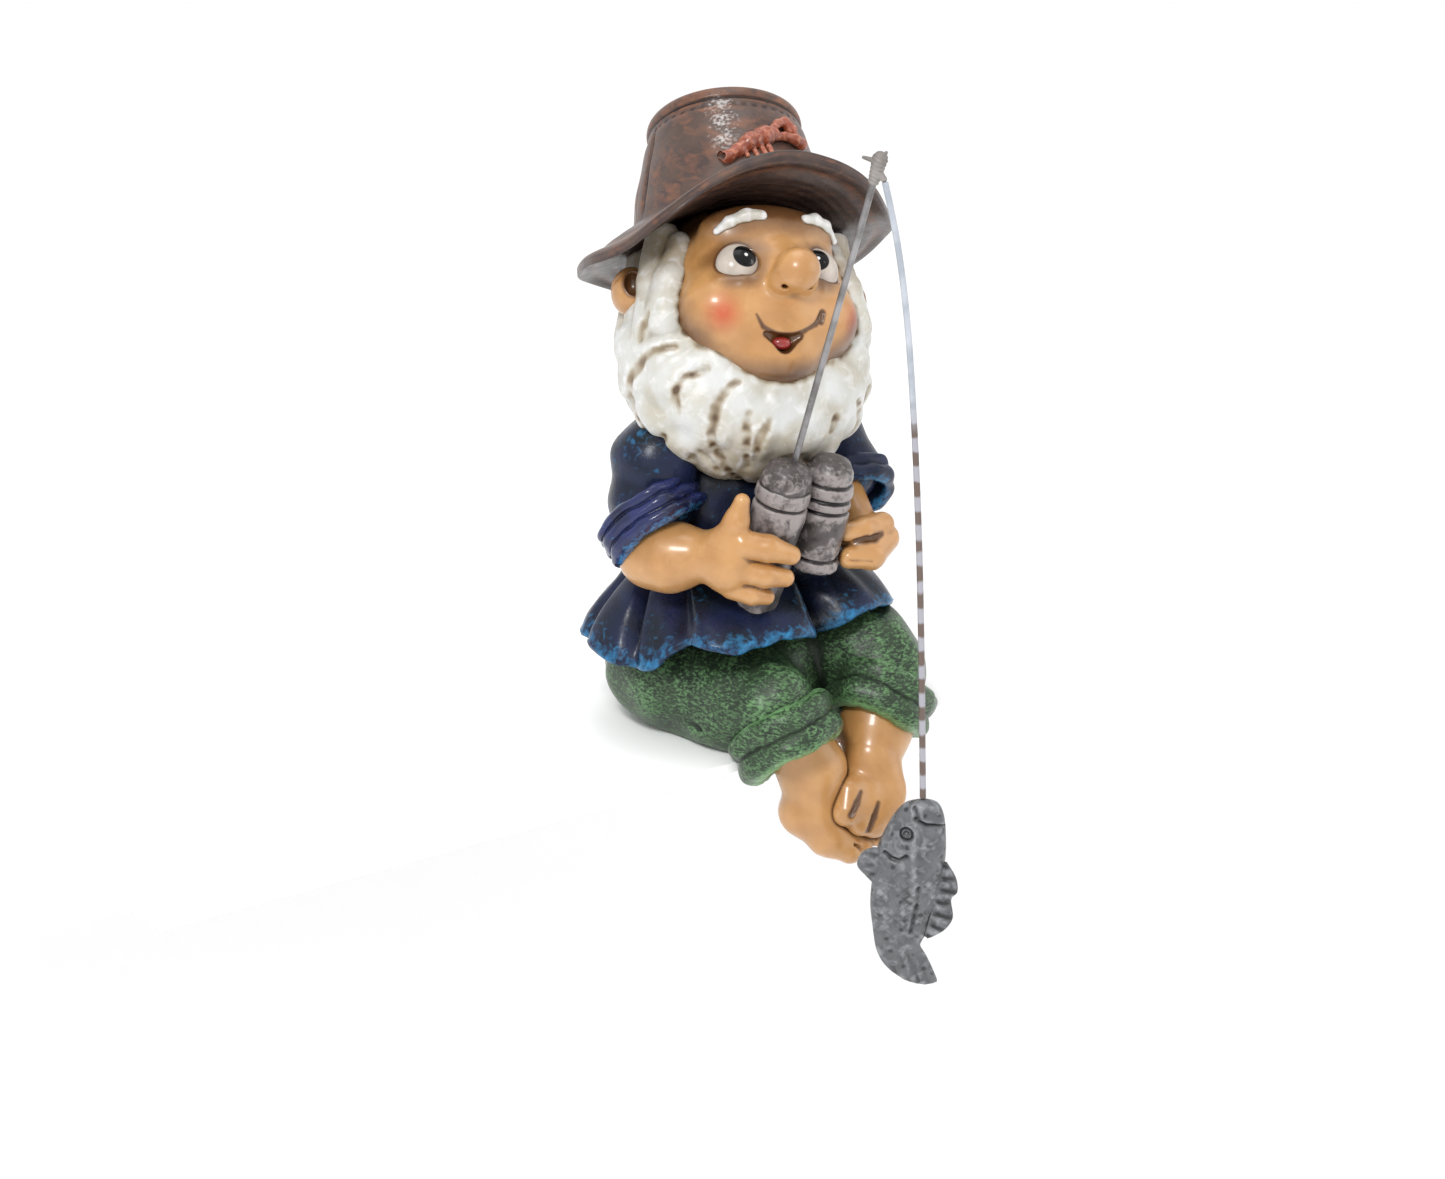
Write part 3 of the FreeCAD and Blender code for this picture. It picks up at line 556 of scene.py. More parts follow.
verts, faces = fieldSurface(headField, (-17, -20.2, -13.6), (17, 13.2, 13.6), 0.2)
marks = paintMarks(verts, faces, 20, 0.3, [smileField], 0.26)
paintedShade = 0.95 * ease((verts[:, 2] - 1.4) / 7) * ease((verts[:, 1] + 14.5) / 2.5)  # painted shade under the hat's brim
for label in ("rightEye", "leftEye"):
    rim = 1.35 - np.abs(eyeball(verts, label)) / 0.45
    marks["contactAndShade"] = np.maximum(marks["contactAndShade"], np.clip(rim, 0, 1))
    fromEye = size((verts - face[label]) * (1, 0.5, 1))  # and painted shade round each eye
    low, behind = ease((verts[:, 2] + 3.4) / 1.6), ease((verts[:, 1] + 14.6) / 1)
    paintedShade = np.maximum(paintedShade, 0.72 * ease((5.4 - fromEye) / 3.4) * low * behind)
# painted shade down the front sides of the face
paintedShade = np.maximum(paintedShade, 0.8 * ease((-1.2 - verts[:, 1]) / 3) * ease((size(verts * (1, 0, 1)) - 9.6) / 2.5))
# painted shade in each ear's hollow
paintedShade = np.maximum(paintedShade, np.clip(1.3 - np.abs(earHollow(verts)) / 0.5, 0, 1))
marks["contactAndShade"] = np.maximum(marks["contactAndShade"], paintedShade)
addPiece("HeadWithNoseAndEars", fromHead(verts), faces, "figure", skinPaint,
         ("head", "nose", "right_ear", "left_ear"), marks)

pupils = {"rightEye": (-3.9, -13.45, 1.55), "leftEye": (5.1, -13.0, 1.8), "radius": (1.42, 1.54),
          "highlightDot": (0.2, 0.3)}


def addPupils(tree, base, place, inMm, blotch):
    # a black disc and a painted highlight, a white speck, on each eye
    for offset, width, paint in (((0, 0, 0), "radius", "040404"), ((0.1, -0.1, 0.1), "highlightDot", "e8e8e8")):
        for label in ("rightEye", "leftEye"):
            near = spot(tree, place, fromHead(np.array(pupils[label]) + offset), *pupils[width])
            base = add(tree, "Mix", mixSockets(near, base, colour(paint)), 2, data_type="RGBA")
    return base


eyePaint = paintedResin("GlossWhiteEyeWithBlackPupil", {  # glossy off-white dots of paint
    "base": "b8aea4", "second": "aaa096", "washAndShade": "4a3020", "brush": "e6e2dc", "blotch": 1.5, "bristle": 1.0,
    "brushGain": 0.1, "brushFrom": 0.6, "brushSoft": 0.3, "brushMost": 0.4, "washGain": 0.0, "washAndShadeMost": 0.8,
    "contactGain": 0.0, "gloss": 0.22, "bump": 0.03, "coat": 0.15, "coatRough": 0.08, "ior": 1.3}, addPupils)
for label, node in (("rightEye", "right_eye"), ("leftEye", "left_eye")):
    centre = np.array(face[label])
    verts, faces = fieldSurface(lambda q: eyeball(q, label), centre - 3, centre + 3, 0.16)
    addPiece("Eyeball_" + node, fromHead(verts), faces, "figure", eyePaint, (node,))

browPaths = {"right_eyebrow": [(-6.3, 5.2), (-5.0, 6.1), (-3.0, 6.9), (-1.3, 6.9)],
             "left_eyebrow": [(4.3, 6.9), (5.6, 7.1), (7.0, 6.6), (8.3, 5.3)]}
browThick = {"right_eyebrow": [0.5, 0.75, 0.88, 0.75], "left_eyebrow": [0.65, 0.8, 0.7, 0.5]}
for node, path in browPaths.items():
    points = [onFace(x, z, 0.12) for x, z in path]
    centre = np.mean(points, 0)

    def browField(q):
        return chain(q, points, browThick[node], 0.4) + 0.03 * waves(q, 1.1, 5)

    verts, faces = fieldSurface(browField, centre - 5, centre + 5, 0.15)
    addPiece("Brow_" + node, fromHead(verts), faces, "figure", beardPaint, (node,),
             paintMarks(verts, faces, 12, 0.1, [headField], 0.25))

tongueAt = onFace(0.4, -8.5, 0.95)
verts, faces = fieldSurface(lambda q: egg(q, tongueAt, (1.2, 0.8, 0.75)), tongueAt - 2, tongueAt + 2, 0.13)
addPiece("Tongue", fromHead(verts), faces, "figure", tonguePaint, ("tongue",))

# beard and hair: overlapping locks that run out from the face, with cuts between them
beard = {"centre": (0, 1.5, -7), "radii": (14.7, 12.0, 13.4), "locks": 13, "lockRadius": 3.9}
hairBall = {"centre": (0, 3.4, -1.2), "radius": 11.7}
cuts = [  # each row: points along a cut and its radii
    ([(-4.5, -9.8, -12.8), (-6.2, -8.3, -14.3), (-6.5, -6.5, -16.4), (-6.0, -4.4, -18.4), (-3.5, -1.3, -20.5),
      (-0.2, 2.2, -21.2)], [0.5, 0.7, 0.75, 0.7, 0.6, 0.3]),
    ([(-2.7, -8.2, -16.4), (-2.4, -5.8, -18.6), (-1.1, -2.0, -20.7)], [0.3, 0.6, 0.3]),
    ([(0.1, -7.9, -17.1), (-1.0, -6.3, -18.5), (-0.6, -3.3, -20.3)], [0.45, 0.65, 0.3]),
    ([(11.8, -5.0, -12.6), (13.2, -1.8, -13.8), (12.9, 0.4, -15.9)], [0.2, 0.5, 0.25]),
    ([(8.7, -6.4, -15.3), (8.7, -5.0, -16.7)], [0.3, 0.35]),
    ([(14.9, -1.6, -9.9), (14.6, -0.8, -12.6)], [0.3, 0.35]),
    ([(2.9, -1.5, -20.6), (3.3, -3.5, -19.9), (5.0, -3.5, -19.4), (6.7, -1.1, -19.6)], [0.3, 0.5, 0.5, 0.3]),
    ([(-14.6, -2.5, -9.0), (-14.7, -1.0, -10.9), (-14.1, 0.8, -13.0), (-12.9, 0.6, -15.0)],
     [0.3, 0.45, 0.5, 0.3]),
    ([(-8.1, -9.0, -11.1), (-9.9, -7.6, -11.7), (-10.8, -5.9, -13.3), (-10.3, -4.9, -15.1)],
     [0.4, 0.4, 0.3, 0.15]),
    ([(-12.8, 0.6, -15.1), (-10.9, 1.2, -17.2)], [0.3, 0.4]),
    ([(-10.8, -0.9, -16.9), (-10.7, 1.0, -17.4), (-9.6, 1.7, -18.2)], [0.3, 0.45, 0.3]),
    ([(-7.5, -1.0, -19.1), (-7.2, -0.2, -19.4)], [0.5, 0.45]),
    ([(-6.9, -2.2, -19.1), (-3.8, -0.6, -20.6)], [0.35, 0.3]),
    ([(-11.2, -7.4, -8.0), (-12.8, -5.7, -8.1), (-14.1, -3.6, -8.8), (-14.5, -2.2, -10.0)],
     [0.4, 0.35, 0.35, 0.3]),
    ([(-12.6, -5.6, -4.1), (-13.6, -4.4, -5.1), (-14.0, -3.9, -6.3)], [0.25, 0.35, 0.2]),
]


def lockPath(turn, tilt, swirl, sink):
    # Points over the beard's egg: "turn" is measured round the face from straight down, "tilt" is how far
    # each point has gone from the face towards the back. The turn swings like an S on the way.
    tilt = np.radians(np.asarray(tilt, float))
    swing = np.radians(turn + swirl * np.sin(np.linspace(0, 4.5, len(tilt))))
    way = np.stack([np.sin(swing) * np.sin(tilt), -np.cos(tilt), -np.cos(swing) * np.sin(tilt)], 1)
    return np.array(beard["centre"]) + way * (np.array(beard["radii"]) - sink)


rng = np.random.default_rng(11)
locks = []
for i in range(beard["locks"]):
    turn = -118 + 236 * i / (beard["locks"] - 1) + rng.uniform(-3, 3)
    radius = beard["lockRadius"] * rng.uniform(0.9, 1.12)
    path = lockPath(turn, [34, 58, 84, 112], rng.uniform(9, 17), radius - 0.95)
    locks.append((path, [radius * 0.8, radius, radius, radius * 0.75]))
nape = []
for i in range(11):  # the back: locks that fall from under the hat to the nape
    turn = math.radians(84 + 192 * i / 10 + rng.uniform(-4, 4))
    fall = np.array([(8.8, 5.5), (9.6, -1.0), (9.4, -7.5), (7.6, -13.0)])
    lean = turn + 0.16 * np.sin(np.arange(4) * 1.7 + i)
    path = np.stack([fall[:, 0] * np.sin(lean), 3.4 - fall[:, 0] * np.cos(lean), fall[:, 1]], 1)
    nape.append((path, [3.1, 3.4, 3.4, 2.9]))


def hairField(q):
    field = egg(q, beard["centre"], np.array(beard["radii"]) - 0.3)
    field = joined(field, egg(q, hairBall["centre"], (hairBall["radius"],) * 3), 2.0)
    for path, radii in locks + nape:
        field = joined(field, chain(q, path, radii, 1.2), 0.55)
    for side in (-1, 1):
        burn = [(side * 9.3, -5.6, 5.2), (side * 10.6, -6.0, 0.5), (side * 11.4, -5.7, -4.0)]
        field = joined(field, chain(q, burn, [1.5, 2.0, 2.6], 0.6), 0.5)
        behind = [(side * 10.6, -3.0, 7.0), (side * 11.7, -3.2, 1.0), (side * 12.2, -3.2, -4.5)]
        field = joined(field, chain(q, behind, [2.0, 2.1, 2.6], 0.6), 0.5)
        field = joined(field, limb(q, (side * 10.4, 4.2, 6.0), (side * 12.0, 4.4, -3.0), 2.2, 2.6), 0.6)
    way = np.arctan2(q[..., 0], -q[..., 2] - 5)
    # strands along each lock
    field = field + 0.10 * np.sin(way * 13 + 1.5 * np.sin(way * 5) + 0.25 * q[..., 1])
    return field + 0.07 * waves(q * (1, 0.5, 0.5), 3.2, 3)


def ontoHair(points):
    # moves points along rays from the beard's middle until they lie on the hair: halving, all at once
    middle = np.array(beard["centre"])
    way = points - middle
    near, far = np.full(len(points), 0.6), np.full(len(points), 1.6)
    for _ in range(16):
        half = (near + far) / 2
        outside = hairField((middle + way * half[:, None]).astype(np.float32)) > 0
        near, far = np.where(outside, near, half), np.where(outside, half, far)
    return middle + way * near[:, None]


cutPaths = []
for path, radii in cuts:
    count = 3 * len(path)
    wide = np.interp(np.linspace(0, 1, count), np.linspace(0, 1, len(radii)), radii)
    cutPaths.append((ontoHair(smoothRows(path, count)), wide * 0.44))


def cutsField(q):
    field = np.full(q.shape[:-1], 9.0, np.float32)
    for path, radii in cutPaths:  # each cut only changes points close to it
        close = ((q > path.min(0) - 1.6) & (q < path.max(0) + 1.6)).all(-1)
        field[close] = np.minimum(field[close], chain(q[close], path, radii, 0.3))
    return field


def beardField(q):
    field = cutBy(hairField(q), cutsField(q), 0.8)
    return np.maximum(field, q[..., 2] - 8.2)  # nothing above the hat's band


verts, faces = fieldSurface(beardField, (-17.2, -14.5, -22.6), (17.2, 18.0, 8.6), 0.24)
marks = paintMarks(verts, faces, 18, 0.34, [bareFace, cutsField], 0.9)
marks["contactAndShade"] = np.clip(marks["contactAndShade"] * (0.9 + 0.25 * waves(verts, 1.6, 77)), 0, 1) ** 3
paintedShade = 0.36 * ease((verts[:, 2] + 4) / 8)  # painted shade up by the hat, and where the beard meets the chest
paintedShade = np.maximum(paintedShade, 0.34 * ease((-15.5 - verts[:, 2]) / 5))
marks["contactAndShade"] = np.maximum(marks["contactAndShade"], paintedShade)
addPiece("BeardAndHair", fromHead(verts), faces, "figure", beardPaint, ("beard", "hair"),
         marks)

# hat: brim and crown as rows carried round the hat's axis
def around(angles, values, at):
    # a smooth closed curve through (angle, value) rows, angles in degrees from the front towards the left
    a = np.concatenate([np.array(angles) - 360, angles, np.array(angles) + 360])
    fine = np.arange(-360, 360, 1.0)
    line = np.interp(fine, a, np.tile(values, 3))
    kernel = np.hanning(25)
    line = np.convolve(line, kernel / kernel.sum(), "same")
    return np.interp((np.degrees(at) + 180) % 360 - 180, fine, line)


hat = {"centre": fromHead((0, 0, 0)) + 9.0 * unit((0.351, 0.618, 0.704)), "axis": (0.351, 0.618, 0.704),
       "brimRadius": 19.0, "edgeThick": 0.85, "crownShift": -0.35}
hatAxes = axesAlong(hat["axis"])
brimAngles = [-180, -152, -134, -115, -100, -84, -68, -56, -45, -33, -21, 0, 14, 28, 44, 60, 75, 92, 120, 150]
brimHeights = [1.5, -0.2, -2.6, -5.2, -6.8, -7.0, -5.7, -3.2, -1.0, 0.4, 1.1, 0.6, -0.3, -1.0, 0.4, 2.6,
               3.1, 3.1,
               3.0, 2.4]


def toHat(local):
    # hat axes: x to the gnome's left, -y to the front, z up the crown
    return hat["centre"] + local @ hatAxes.T


def roundHat(angle, radius, height):
    return np.stack(np.broadcast_arrays(radius * np.sin(angle), -radius * np.cos(angle), height), -1)


brimColumns, crownColumns = 420, 480
angle = (np.arange(brimColumns) * 2 * np.pi / brimColumns)[None, :]
# the brim's section is (share of the way out, side): out along the top, round the edge, back underneath
out = np.concatenate([np.linspace(0, 0.93, 30), np.linspace(0.95, 1, 6), np.ones(5), np.linspace(1, 0.95, 6),
                      np.linspace(0.93, 0, 30)])[:, None]
side = np.concatenate([np.full(30, 1.0), np.sqrt(1 - np.linspace(0, 0.85, 6) ** 2), np.linspace(0.4, -0.4, 5),
                       -np.sqrt(1 - np.linspace(0.85, 0, 6) ** 2), np.full(30, -1.0)])[:, None]
edgeHeight = around(brimAngles, brimHeights, angle)
rim = hat["brimRadius"] + 0.25 * np.sin(5 * angle + 1) + 0.15 * np.sin(9 * angle)
radius = 9.6 + (rim - 9.6) * out
thick = hat["edgeThick"] * (1 - 0.35 * np.exp(-((out - 0.8) / 0.09) ** 2))  # a hollow inside the bound edge
base = 1.3 * (1 - out) ** 2 * (side > 0) + edgeHeight * np.clip(out, 0, 1) ** 1.35
streak = 0.07 * np.sin(radius * 5.5 + 2.5 * np.sin(3 * angle)) * (1 - out) * side
height = base + side * thick + streak + 0.12 * np.sin(7 * angle + 3 * out)
verts = toHat(roundHat(angle, radius, height).reshape(-1, 3))
faces = gridFaces(len(out), brimColumns, closedRows=True)
marks = paintMarks(verts, faces, 20, 0.12)
bound = np.exp(-((out - 0.97) / 0.03) ** 2) * 0.8 + 0 * angle
marks["relief"] = np.clip(marks["relief"] + bound.ravel() - 0.7 * (np.exp(-((out - 0.87) / 0.012) ** 2)
                                                                  + 0 * angle).ravel(), -1, 1)
marks["contactAndShade"] = ((side < 0) * (0.4 + 0.5 * (1 - out)) + 0 * angle).ravel()  # painted shade on the underside, darker towards the crown
addPiece("HatBrim", verts, faces[:, ::-1], "figure", hatPaint, ("hat_brim",), marks)

crownRows = smoothRows([(12.4, -0.6), (11.9, 1.8), (11.2, 6.0), (9.95, 11.6), (9.35, 13.3), (9.25, 13.9),
                        (9.05, 14.1),
                        (9.05, 14.25), (9.35, 14.45), (9.3, 15.2), (8.9, 15.75), (8.0, 15.9), (7.4, 15.5),
                        (5, 15.2), (2, 15.1), (0.05, 15.1)], 150)
crownAngle = (np.arange(crownColumns) * 2 * np.pi / crownColumns)[None, :]
crownRadius = crownRows[:, :1] + 0 * crownAngle
crownHeight = crownRows[:, 1:] + 0 * crownAngle
wallShare = ease(crownHeight / 3) * ease((13.7 - crownHeight) / 1.0) * (crownRadius > 9)
# the stitched seam down one side
seam = np.degrees((crownAngle + np.radians(112) + np.pi) % (2 * np.pi) - np.pi)
grooves = np.exp(-((seam - 6.5) / 1.1) ** 2) + np.exp(-((seam + 6.5) / 1.1) ** 2)
crownRadius = crownRadius - wallShare * 0.30 * grooves
crownRadius = crownRadius + wallShare * 0.16 * np.exp(-(seam / 5.5) ** 4)
stitch = 0.5 + 0.5 * np.sin(crownAngle * 46)
crownRadius = crownRadius - 0.16 * np.exp(-((crownHeight - 13.1) / 0.22) ** 2) * (crownRadius > 8.5) * stitch
crownRadius = crownRadius + 0.09 * np.sin(crownAngle * 3 + crownHeight * 0.4) * wallShare
crownLocal = roundHat(crownAngle, crownRadius, crownHeight)
bulge = waves(crownLocal, 6.0, 21)[..., None] * 0.10 * wallShare[..., None]
crownLocal = crownLocal + bulge * roundHat(crownAngle, 1.0, 0 * crownHeight)
crownLocal[..., 0] += hat["crownShift"]
verts = toHat(crownLocal.reshape(-1, 3))
faces = gridFaces(len(crownRows), crownColumns)
addPiece("HatCrown", verts, faces, "figure", hatPaint, ("hat_crown",),
         paintMarks(verts, faces, 16, 0.12))


def onCrown(turn, high, proud):
    # a point on the crown's wall: degrees from the front, height above the brim, and how far it stands out
    turn = math.radians(turn - 9)
    wall = np.interp(high, [0, 6.0, 11.6, 14.4], [12.2, 11.2, 9.95, 9.25]) + proud
    return np.array([wall * math.sin(turn) + hat["crownShift"], -wall * math.cos(turn), high])


crayfish = {  # a moulded crayfish laid along the band: tail, body, and two claws
    "body": ([(-37, 4.4, 0.3), (-31, 5.2, 0.4), (-23, 6.6, 0.5), (-13, 7.7, 0.5), (-6, 8.3, 0.4)],
             [0.75, 0.75, 1.0, 1.15, 0.8]),
    "arms": [([(-8, 8.6, 0.4), (-2, 10.0, 0.7), (4, 10.6, 0.7), (9, 9.8, 0.6)], [0.55, 0.5, 0.6, 0.75]),
             ([(-8, 7.8, 0.4), (1, 8.2, 0.7), (9, 8.2, 0.8), (15, 8.1, 0.6)], [0.5, 0.5, 0.65, 0.75]),
             ([(9, 9.8, 0.6), (12, 8.9, 0.6)], [0.6, 0.35]), ([(15, 8.1, 0.6), (18, 8.9, 0.5)], [0.6, 0.35])],
    "tail": ([(-37, 4.4, 0.2), (-40, 4.9, 0.2)], [0.7, 0.55])}


def crayfishField(q):
    path, radii = crayfish["body"]
    spine = [onCrown(*p) for p in path]
    field = chain(q, spine, radii, 0.4)
    field = field + 0.05 * np.sin((q[..., 0] * 0.9 + q[..., 2] * 0.6) * 5.2)  # the rings of its back
    for path, radii in crayfish["arms"] + [crayfish["tail"]]:
        field = joined(field, chain(q, [onCrown(*p) for p in path], radii, 0.25), 0.25)
    for turn in (-28, -22, -16, -11):
        field = joined(field, limb(q, onCrown(turn, 6.2, 0.3), onCrown(turn + 3, 4.6, 0.3), 0.36, 0.26), 0.25)
    return field


verts, faces = fieldSurface(crayfishField, (-9.5, -13.5, 2.6), (5.5, -6.0, 12.8), 0.13)
addPiece("HatCrayfish", toHat(verts), faces, "figure", copperPaint, ("hat_ornament",),
         paintMarks(verts, faces, 12, 0.12))

# tunic: chest and sleeves in one field, the skirt as folds carried round
tunicFolds = [([(-12.6, -6.8, 33), (-10.2, -7.6, 27), (-10.6, -8.0, 23)], [0.25, 0.45, 0.3]),
              ([(9.6, -6.0, 33), (8.6, -7.8, 27), (9.4, -7.6, 21)], [0.25, 0.45, 0.3]),
              ([(-3, -8.4, 29), (-2, -8.6, 24), (-3.4, -8.0, 20)], [0.2, 0.35, 0.3])]


def chestField(p):
    field = egg(p, (-0.6, 3.2, 25.5), (13.4, 10.4, 13.5))
    field = joined(field, egg(p, (0, 4.2, 36), (9.6, 8.2, 5)), 2)
    right = chain(p, [(-9.6, 3.4, 36.8), (-13.8, 1.8, 34.0), (-14.9, 1.0, 29.0)], [4.2, 5.0, 5.1], 1.0)
    left = chain(p, [(9.4, 3.2, 35.6), (11.3, 1.0, 32.2), (11.1, -3.2, 29.2)], [4.0, 4.3, 3.9], 1.0)
    field = joined(joined(field, right, 1.2), left, 1.2)
    for path, radii in tunicFolds:
        field = cutBy(field, chain(p, path, radii, 0.3), 0.9)
    field = field + 0.16 * waves(p, 5.5, 8)
    return np.maximum(field, 14.5 - p[..., 2])


def barrelNear(p):
    return joined(limb(p, (-7.8, -8.5, 15.2), (-5.7, -12.5, 35.6), 3.2, 3.2),
                  limb(p, (-0.1, -11, 20.8), (0.7, -12.5, 34.7), 2.9, 2.9), 0.1)


def beardNear(p):
    return egg(toHead(p).astype(np.float32), (0, 1.5, -7), (14.9, 12.2, 13.6))


verts, faces = fieldSurface(chestField, (-23, -10.5, 14), (21, 15.5, 42), 0.27)
# painted shade under the beard and beside the binoculars
marks = paintMarks(verts, faces, 22, 0.22, [beardNear, barrelNear], 1.6)
addPiece("TunicChestAndSleeves", verts, faces, "figure", tunicPaint,
         ("right_sleeve", "left_sleeve"), marks)

hem = {  # degrees from the front towards the gnome's left, distance from the middle, height
    "angles": [-180, -150, -122, -98, -84, -74, -66, -59, -50, -42, -30, -19, -8, 0, 7, 16, 28, 40, 52, 70,
               90, 120,
               150],
    "radius": [14.6, 16.2, 19.0, 20.3, 19.6, 19.6, 19.0, 17.9, 18.8, 19.4, 17.8, 16.8, 16.0, 15.4, 13.0,
               15.2, 16.6,
               17.6, 18.2, 17.8, 18.0, 17.2, 15.4],
    "height": [11.0, 11.4, 11.8, 12.2, 11.0, 10.8, 12.8, 15.6, 15.6, 14.8, 15.2, 15.6, 15.4, 14.4, 13.2,
               14.8, 16.2,
               15.8, 14.4, 12.4, 12.0, 12.0, 11.4]}
skirtColumns, lipCount, innerCount = 540, 5, 8  # columns round it, rows round the hem's edge, rows inside
skirtAngle = (np.arange(skirtColumns) * 2 * np.pi / skirtColumns)[None, :]
hemRadius = around(hem["angles"], hem["radius"], skirtAngle)
hemHeight = around(hem["angles"], hem["height"], skirtAngle)
# 0 at the waist, 1 at the hem
down = np.concatenate([np.linspace(0, 0.97, 60), np.linspace(0.98, 1, 5)])[:, None]
waistX, waistY = 12.6 * np.sin(skirtAngle), -9.6 * np.cos(skirtAngle)
hemX, hemY = hemRadius * np.sin(skirtAngle), -hemRadius * np.cos(skirtAngle)
flare = 0.25 * down + 0.75 * ease(down * 0.93) ** 1.15
x, y = waistX + (hemX - waistX) * flare, waistY + (hemY - waistY) * flare
z = 22.0 + (hemHeight - 22.0) * (0.75 * down + 0.25 * down ** 2)
centreX, centreY = -1.0 - 0.6 * down, 2.6 - 1.4 * down
degreesRound = (np.degrees(skirtAngle) + 180) % 360 - 180


def fold(at, lean, wide, deep):
    # a crease that runs from the waist to the hem, leaning by "lean" degrees on the way
    off = (degreesRound - at - lean * (down - 0.5)) / wide
    return deep * np.exp(-off ** 2) * ease(down * 1.6) * (1 - 0.35 * ease((down - 0.8) * 5))


creaseDepth = (fold(-112, 10, 3.6, 1.6) + fold(-86, 12, 3.2, 2.2) + fold(-62, 9, 4.6, 1.7)
               + fold(-28, -6, 5.0, 0.5) + fold(7, 0, 5.5, 3.4) + fold(34, 8, 4.5, 0.5)
               + fold(64, -8, 4.0, 1.2) + fold(96, 6, 4.0, 1.1) + fold(132, 0, 4.5, 1.0)
               + fold(165, 4, 4.0, 0.9) + fold(-140, -4, 4.5, 1.1))
swell = 0.28 * np.sin(skirtAngle * 7 + 2 * down + np.sin(skirtAngle * 2)) * down
push = swell - creaseDepth
outer = np.stack([x + centreX + push * np.sin(skirtAngle), y + centreY - push * np.cos(skirtAngle), z], -1)
# round the hem's edge
lip = np.array([(0.25, -0.35), (0.1, -0.8), (-0.4, -1.0), (-0.95, -0.8), (-1.2, -0.2)])
lipRows = outer[-1:] + np.stack([lip[:, :1] * np.sin(skirtAngle), -lip[:, :1] * np.cos(skirtAngle),
                                 lip[:, 1:] + 0 * skirtAngle], -1)
inward = np.linspace(0.05, 0.5, innerCount)[:, None, None]
inner = lipRows[-1:] * (1 - inward) + np.array([-1.4, 1.8, 15.5]) * inward
skirt = np.concatenate([outer, lipRows, inner]).reshape(-1, 3)
skirt = skirt + 0.12 * waves(skirt, 3.2, 14)[:, None]
skirtRows = len(outer) + lipCount + innerCount
faces = gridFaces(skirtRows, skirtColumns)
marks = paintMarks(skirt, faces[:, ::-1], 22, 0.3)
# a blue band round the hem; the rows inside the skirt go dark as painted shade
band = np.concatenate([np.exp(-((down - 1.0) / 0.11) ** 2)[:, 0] * 0.75, np.full(lipCount, 0.75),
                       np.full(innerCount, -0.6)])
# painted shade down the deep folds at the front and on the left, where the band stops
gap = np.exp(-(((degreesRound - 7) / 7) ** 2)) + 0.5 * np.exp(-(((degreesRound + 60) / 5) ** 2))
band = band[:, None] * (1 - gap)
marks["relief"] = np.clip(marks["relief"] + band.ravel(), -1, 1)
marks["contactAndShade"] = np.clip(0.9 * gap * ease((np.arange(skirtRows)[:, None] - 12) / 20), 0, 1).ravel()
addPiece("TunicSkirt", skirt, faces[:, ::-1], "figure", tunicPaint, ("tunic",), marks)


def rolledCuff(name, node, centre, direction, outer, tall, bore, welts, paint, gain, seed, squash=1.0,
               near=()):
    # A band rolled up on itself: welts side by side down the outside, rounded over both ends, and back
    # up the bore.
    axes = axesAlong(direction)
    turn = (np.arange(300) * 2 * np.pi / 300)[None, :]
    s = np.linspace(0, 1, 60)[:, None]
    roll = np.abs(np.sin(np.pi * welts * s + 0.25 * np.sin(2 * turn + seed))) ** 0.55
    outside = outer * (0.9 + 0.1 * roll) + 0.18 * np.sin(5 * turn + seed) + 0.1 * np.sin(9 * turn + 4 * s)
    ends = np.sqrt(np.clip(1 - (2 * s - 1) ** 8, 0, 1))
    outside = outer * bore + (outside - outer * bore) * (0.25 + 0.75 * ends)
    level = tall * s + 0.35 * np.sin(turn + seed) + 0.2 * np.sin(3 * turn)
    back = np.linspace(1, 0, 14)[1:-1, None]
    insideRadius = outer * bore * (1 + 0.03 * np.sin(4 * turn)) + 0 * back
    insideLevel = tall * back + 0.35 * np.sin(turn + seed) + 0.2 * np.sin(3 * turn)
    radius = np.concatenate([outside, insideRadius])
    height = np.concatenate([level + 0 * turn, insideLevel])
    local = np.stack([radius * np.cos(turn), radius * squash * np.sin(turn), height], -1).reshape(-1, 3)
    verts = np.asarray(centre) + local @ axes.T
    verts = verts + 0.13 * waves(verts, 2.6, seed)[:, None] * unit(direction)
    faces = gridFaces(len(radius), 300, closedRows=True)
    marks = paintMarks(verts, faces, 20, 0.22, near, 0.9)
    marks["relief"] = np.clip(marks["relief"] * gain, -1, 1)
    addPiece(name, verts, faces, "figure", paint, (node,), marks)


rolledCuff("RightSleeveCuff", "right_sleeve_cuff", (-15.9, 1.6, 29.0), (0.12, -0.74, -0.66), 6.9, 4.8, 0.62,
           3,
           cuffPaint, 1.0, 2)
rolledCuff("LeftSleeveCuff", "left_sleeve_cuff", (11.0, -3.6, 28.9), (-0.12, -0.8, -0.58), 4.7, 3.6, 0.62, 2,
           tunicPaint, 1.2, 5)

# hands: forearm, palm, thumb and fingers
rightFingers = [([(-11.6, -12.6, 27.1), (-9.2, -14.4, 26.6), (-6.6, -15.3, 25.5)], [1.7, 1.6, 1.15]),
                ([(-11.6, -12.3, 23.9), (-9.4, -14.0, 23.2), (-7.0, -14.7, 22.6)], [1.6, 1.45, 1.1]),
                ([(-12.2, -11.3, 21.5), (-10.4, -12.8, 20.7), (-8.7, -13.4, 20.2)], [1.4, 1.25, 0.95])]


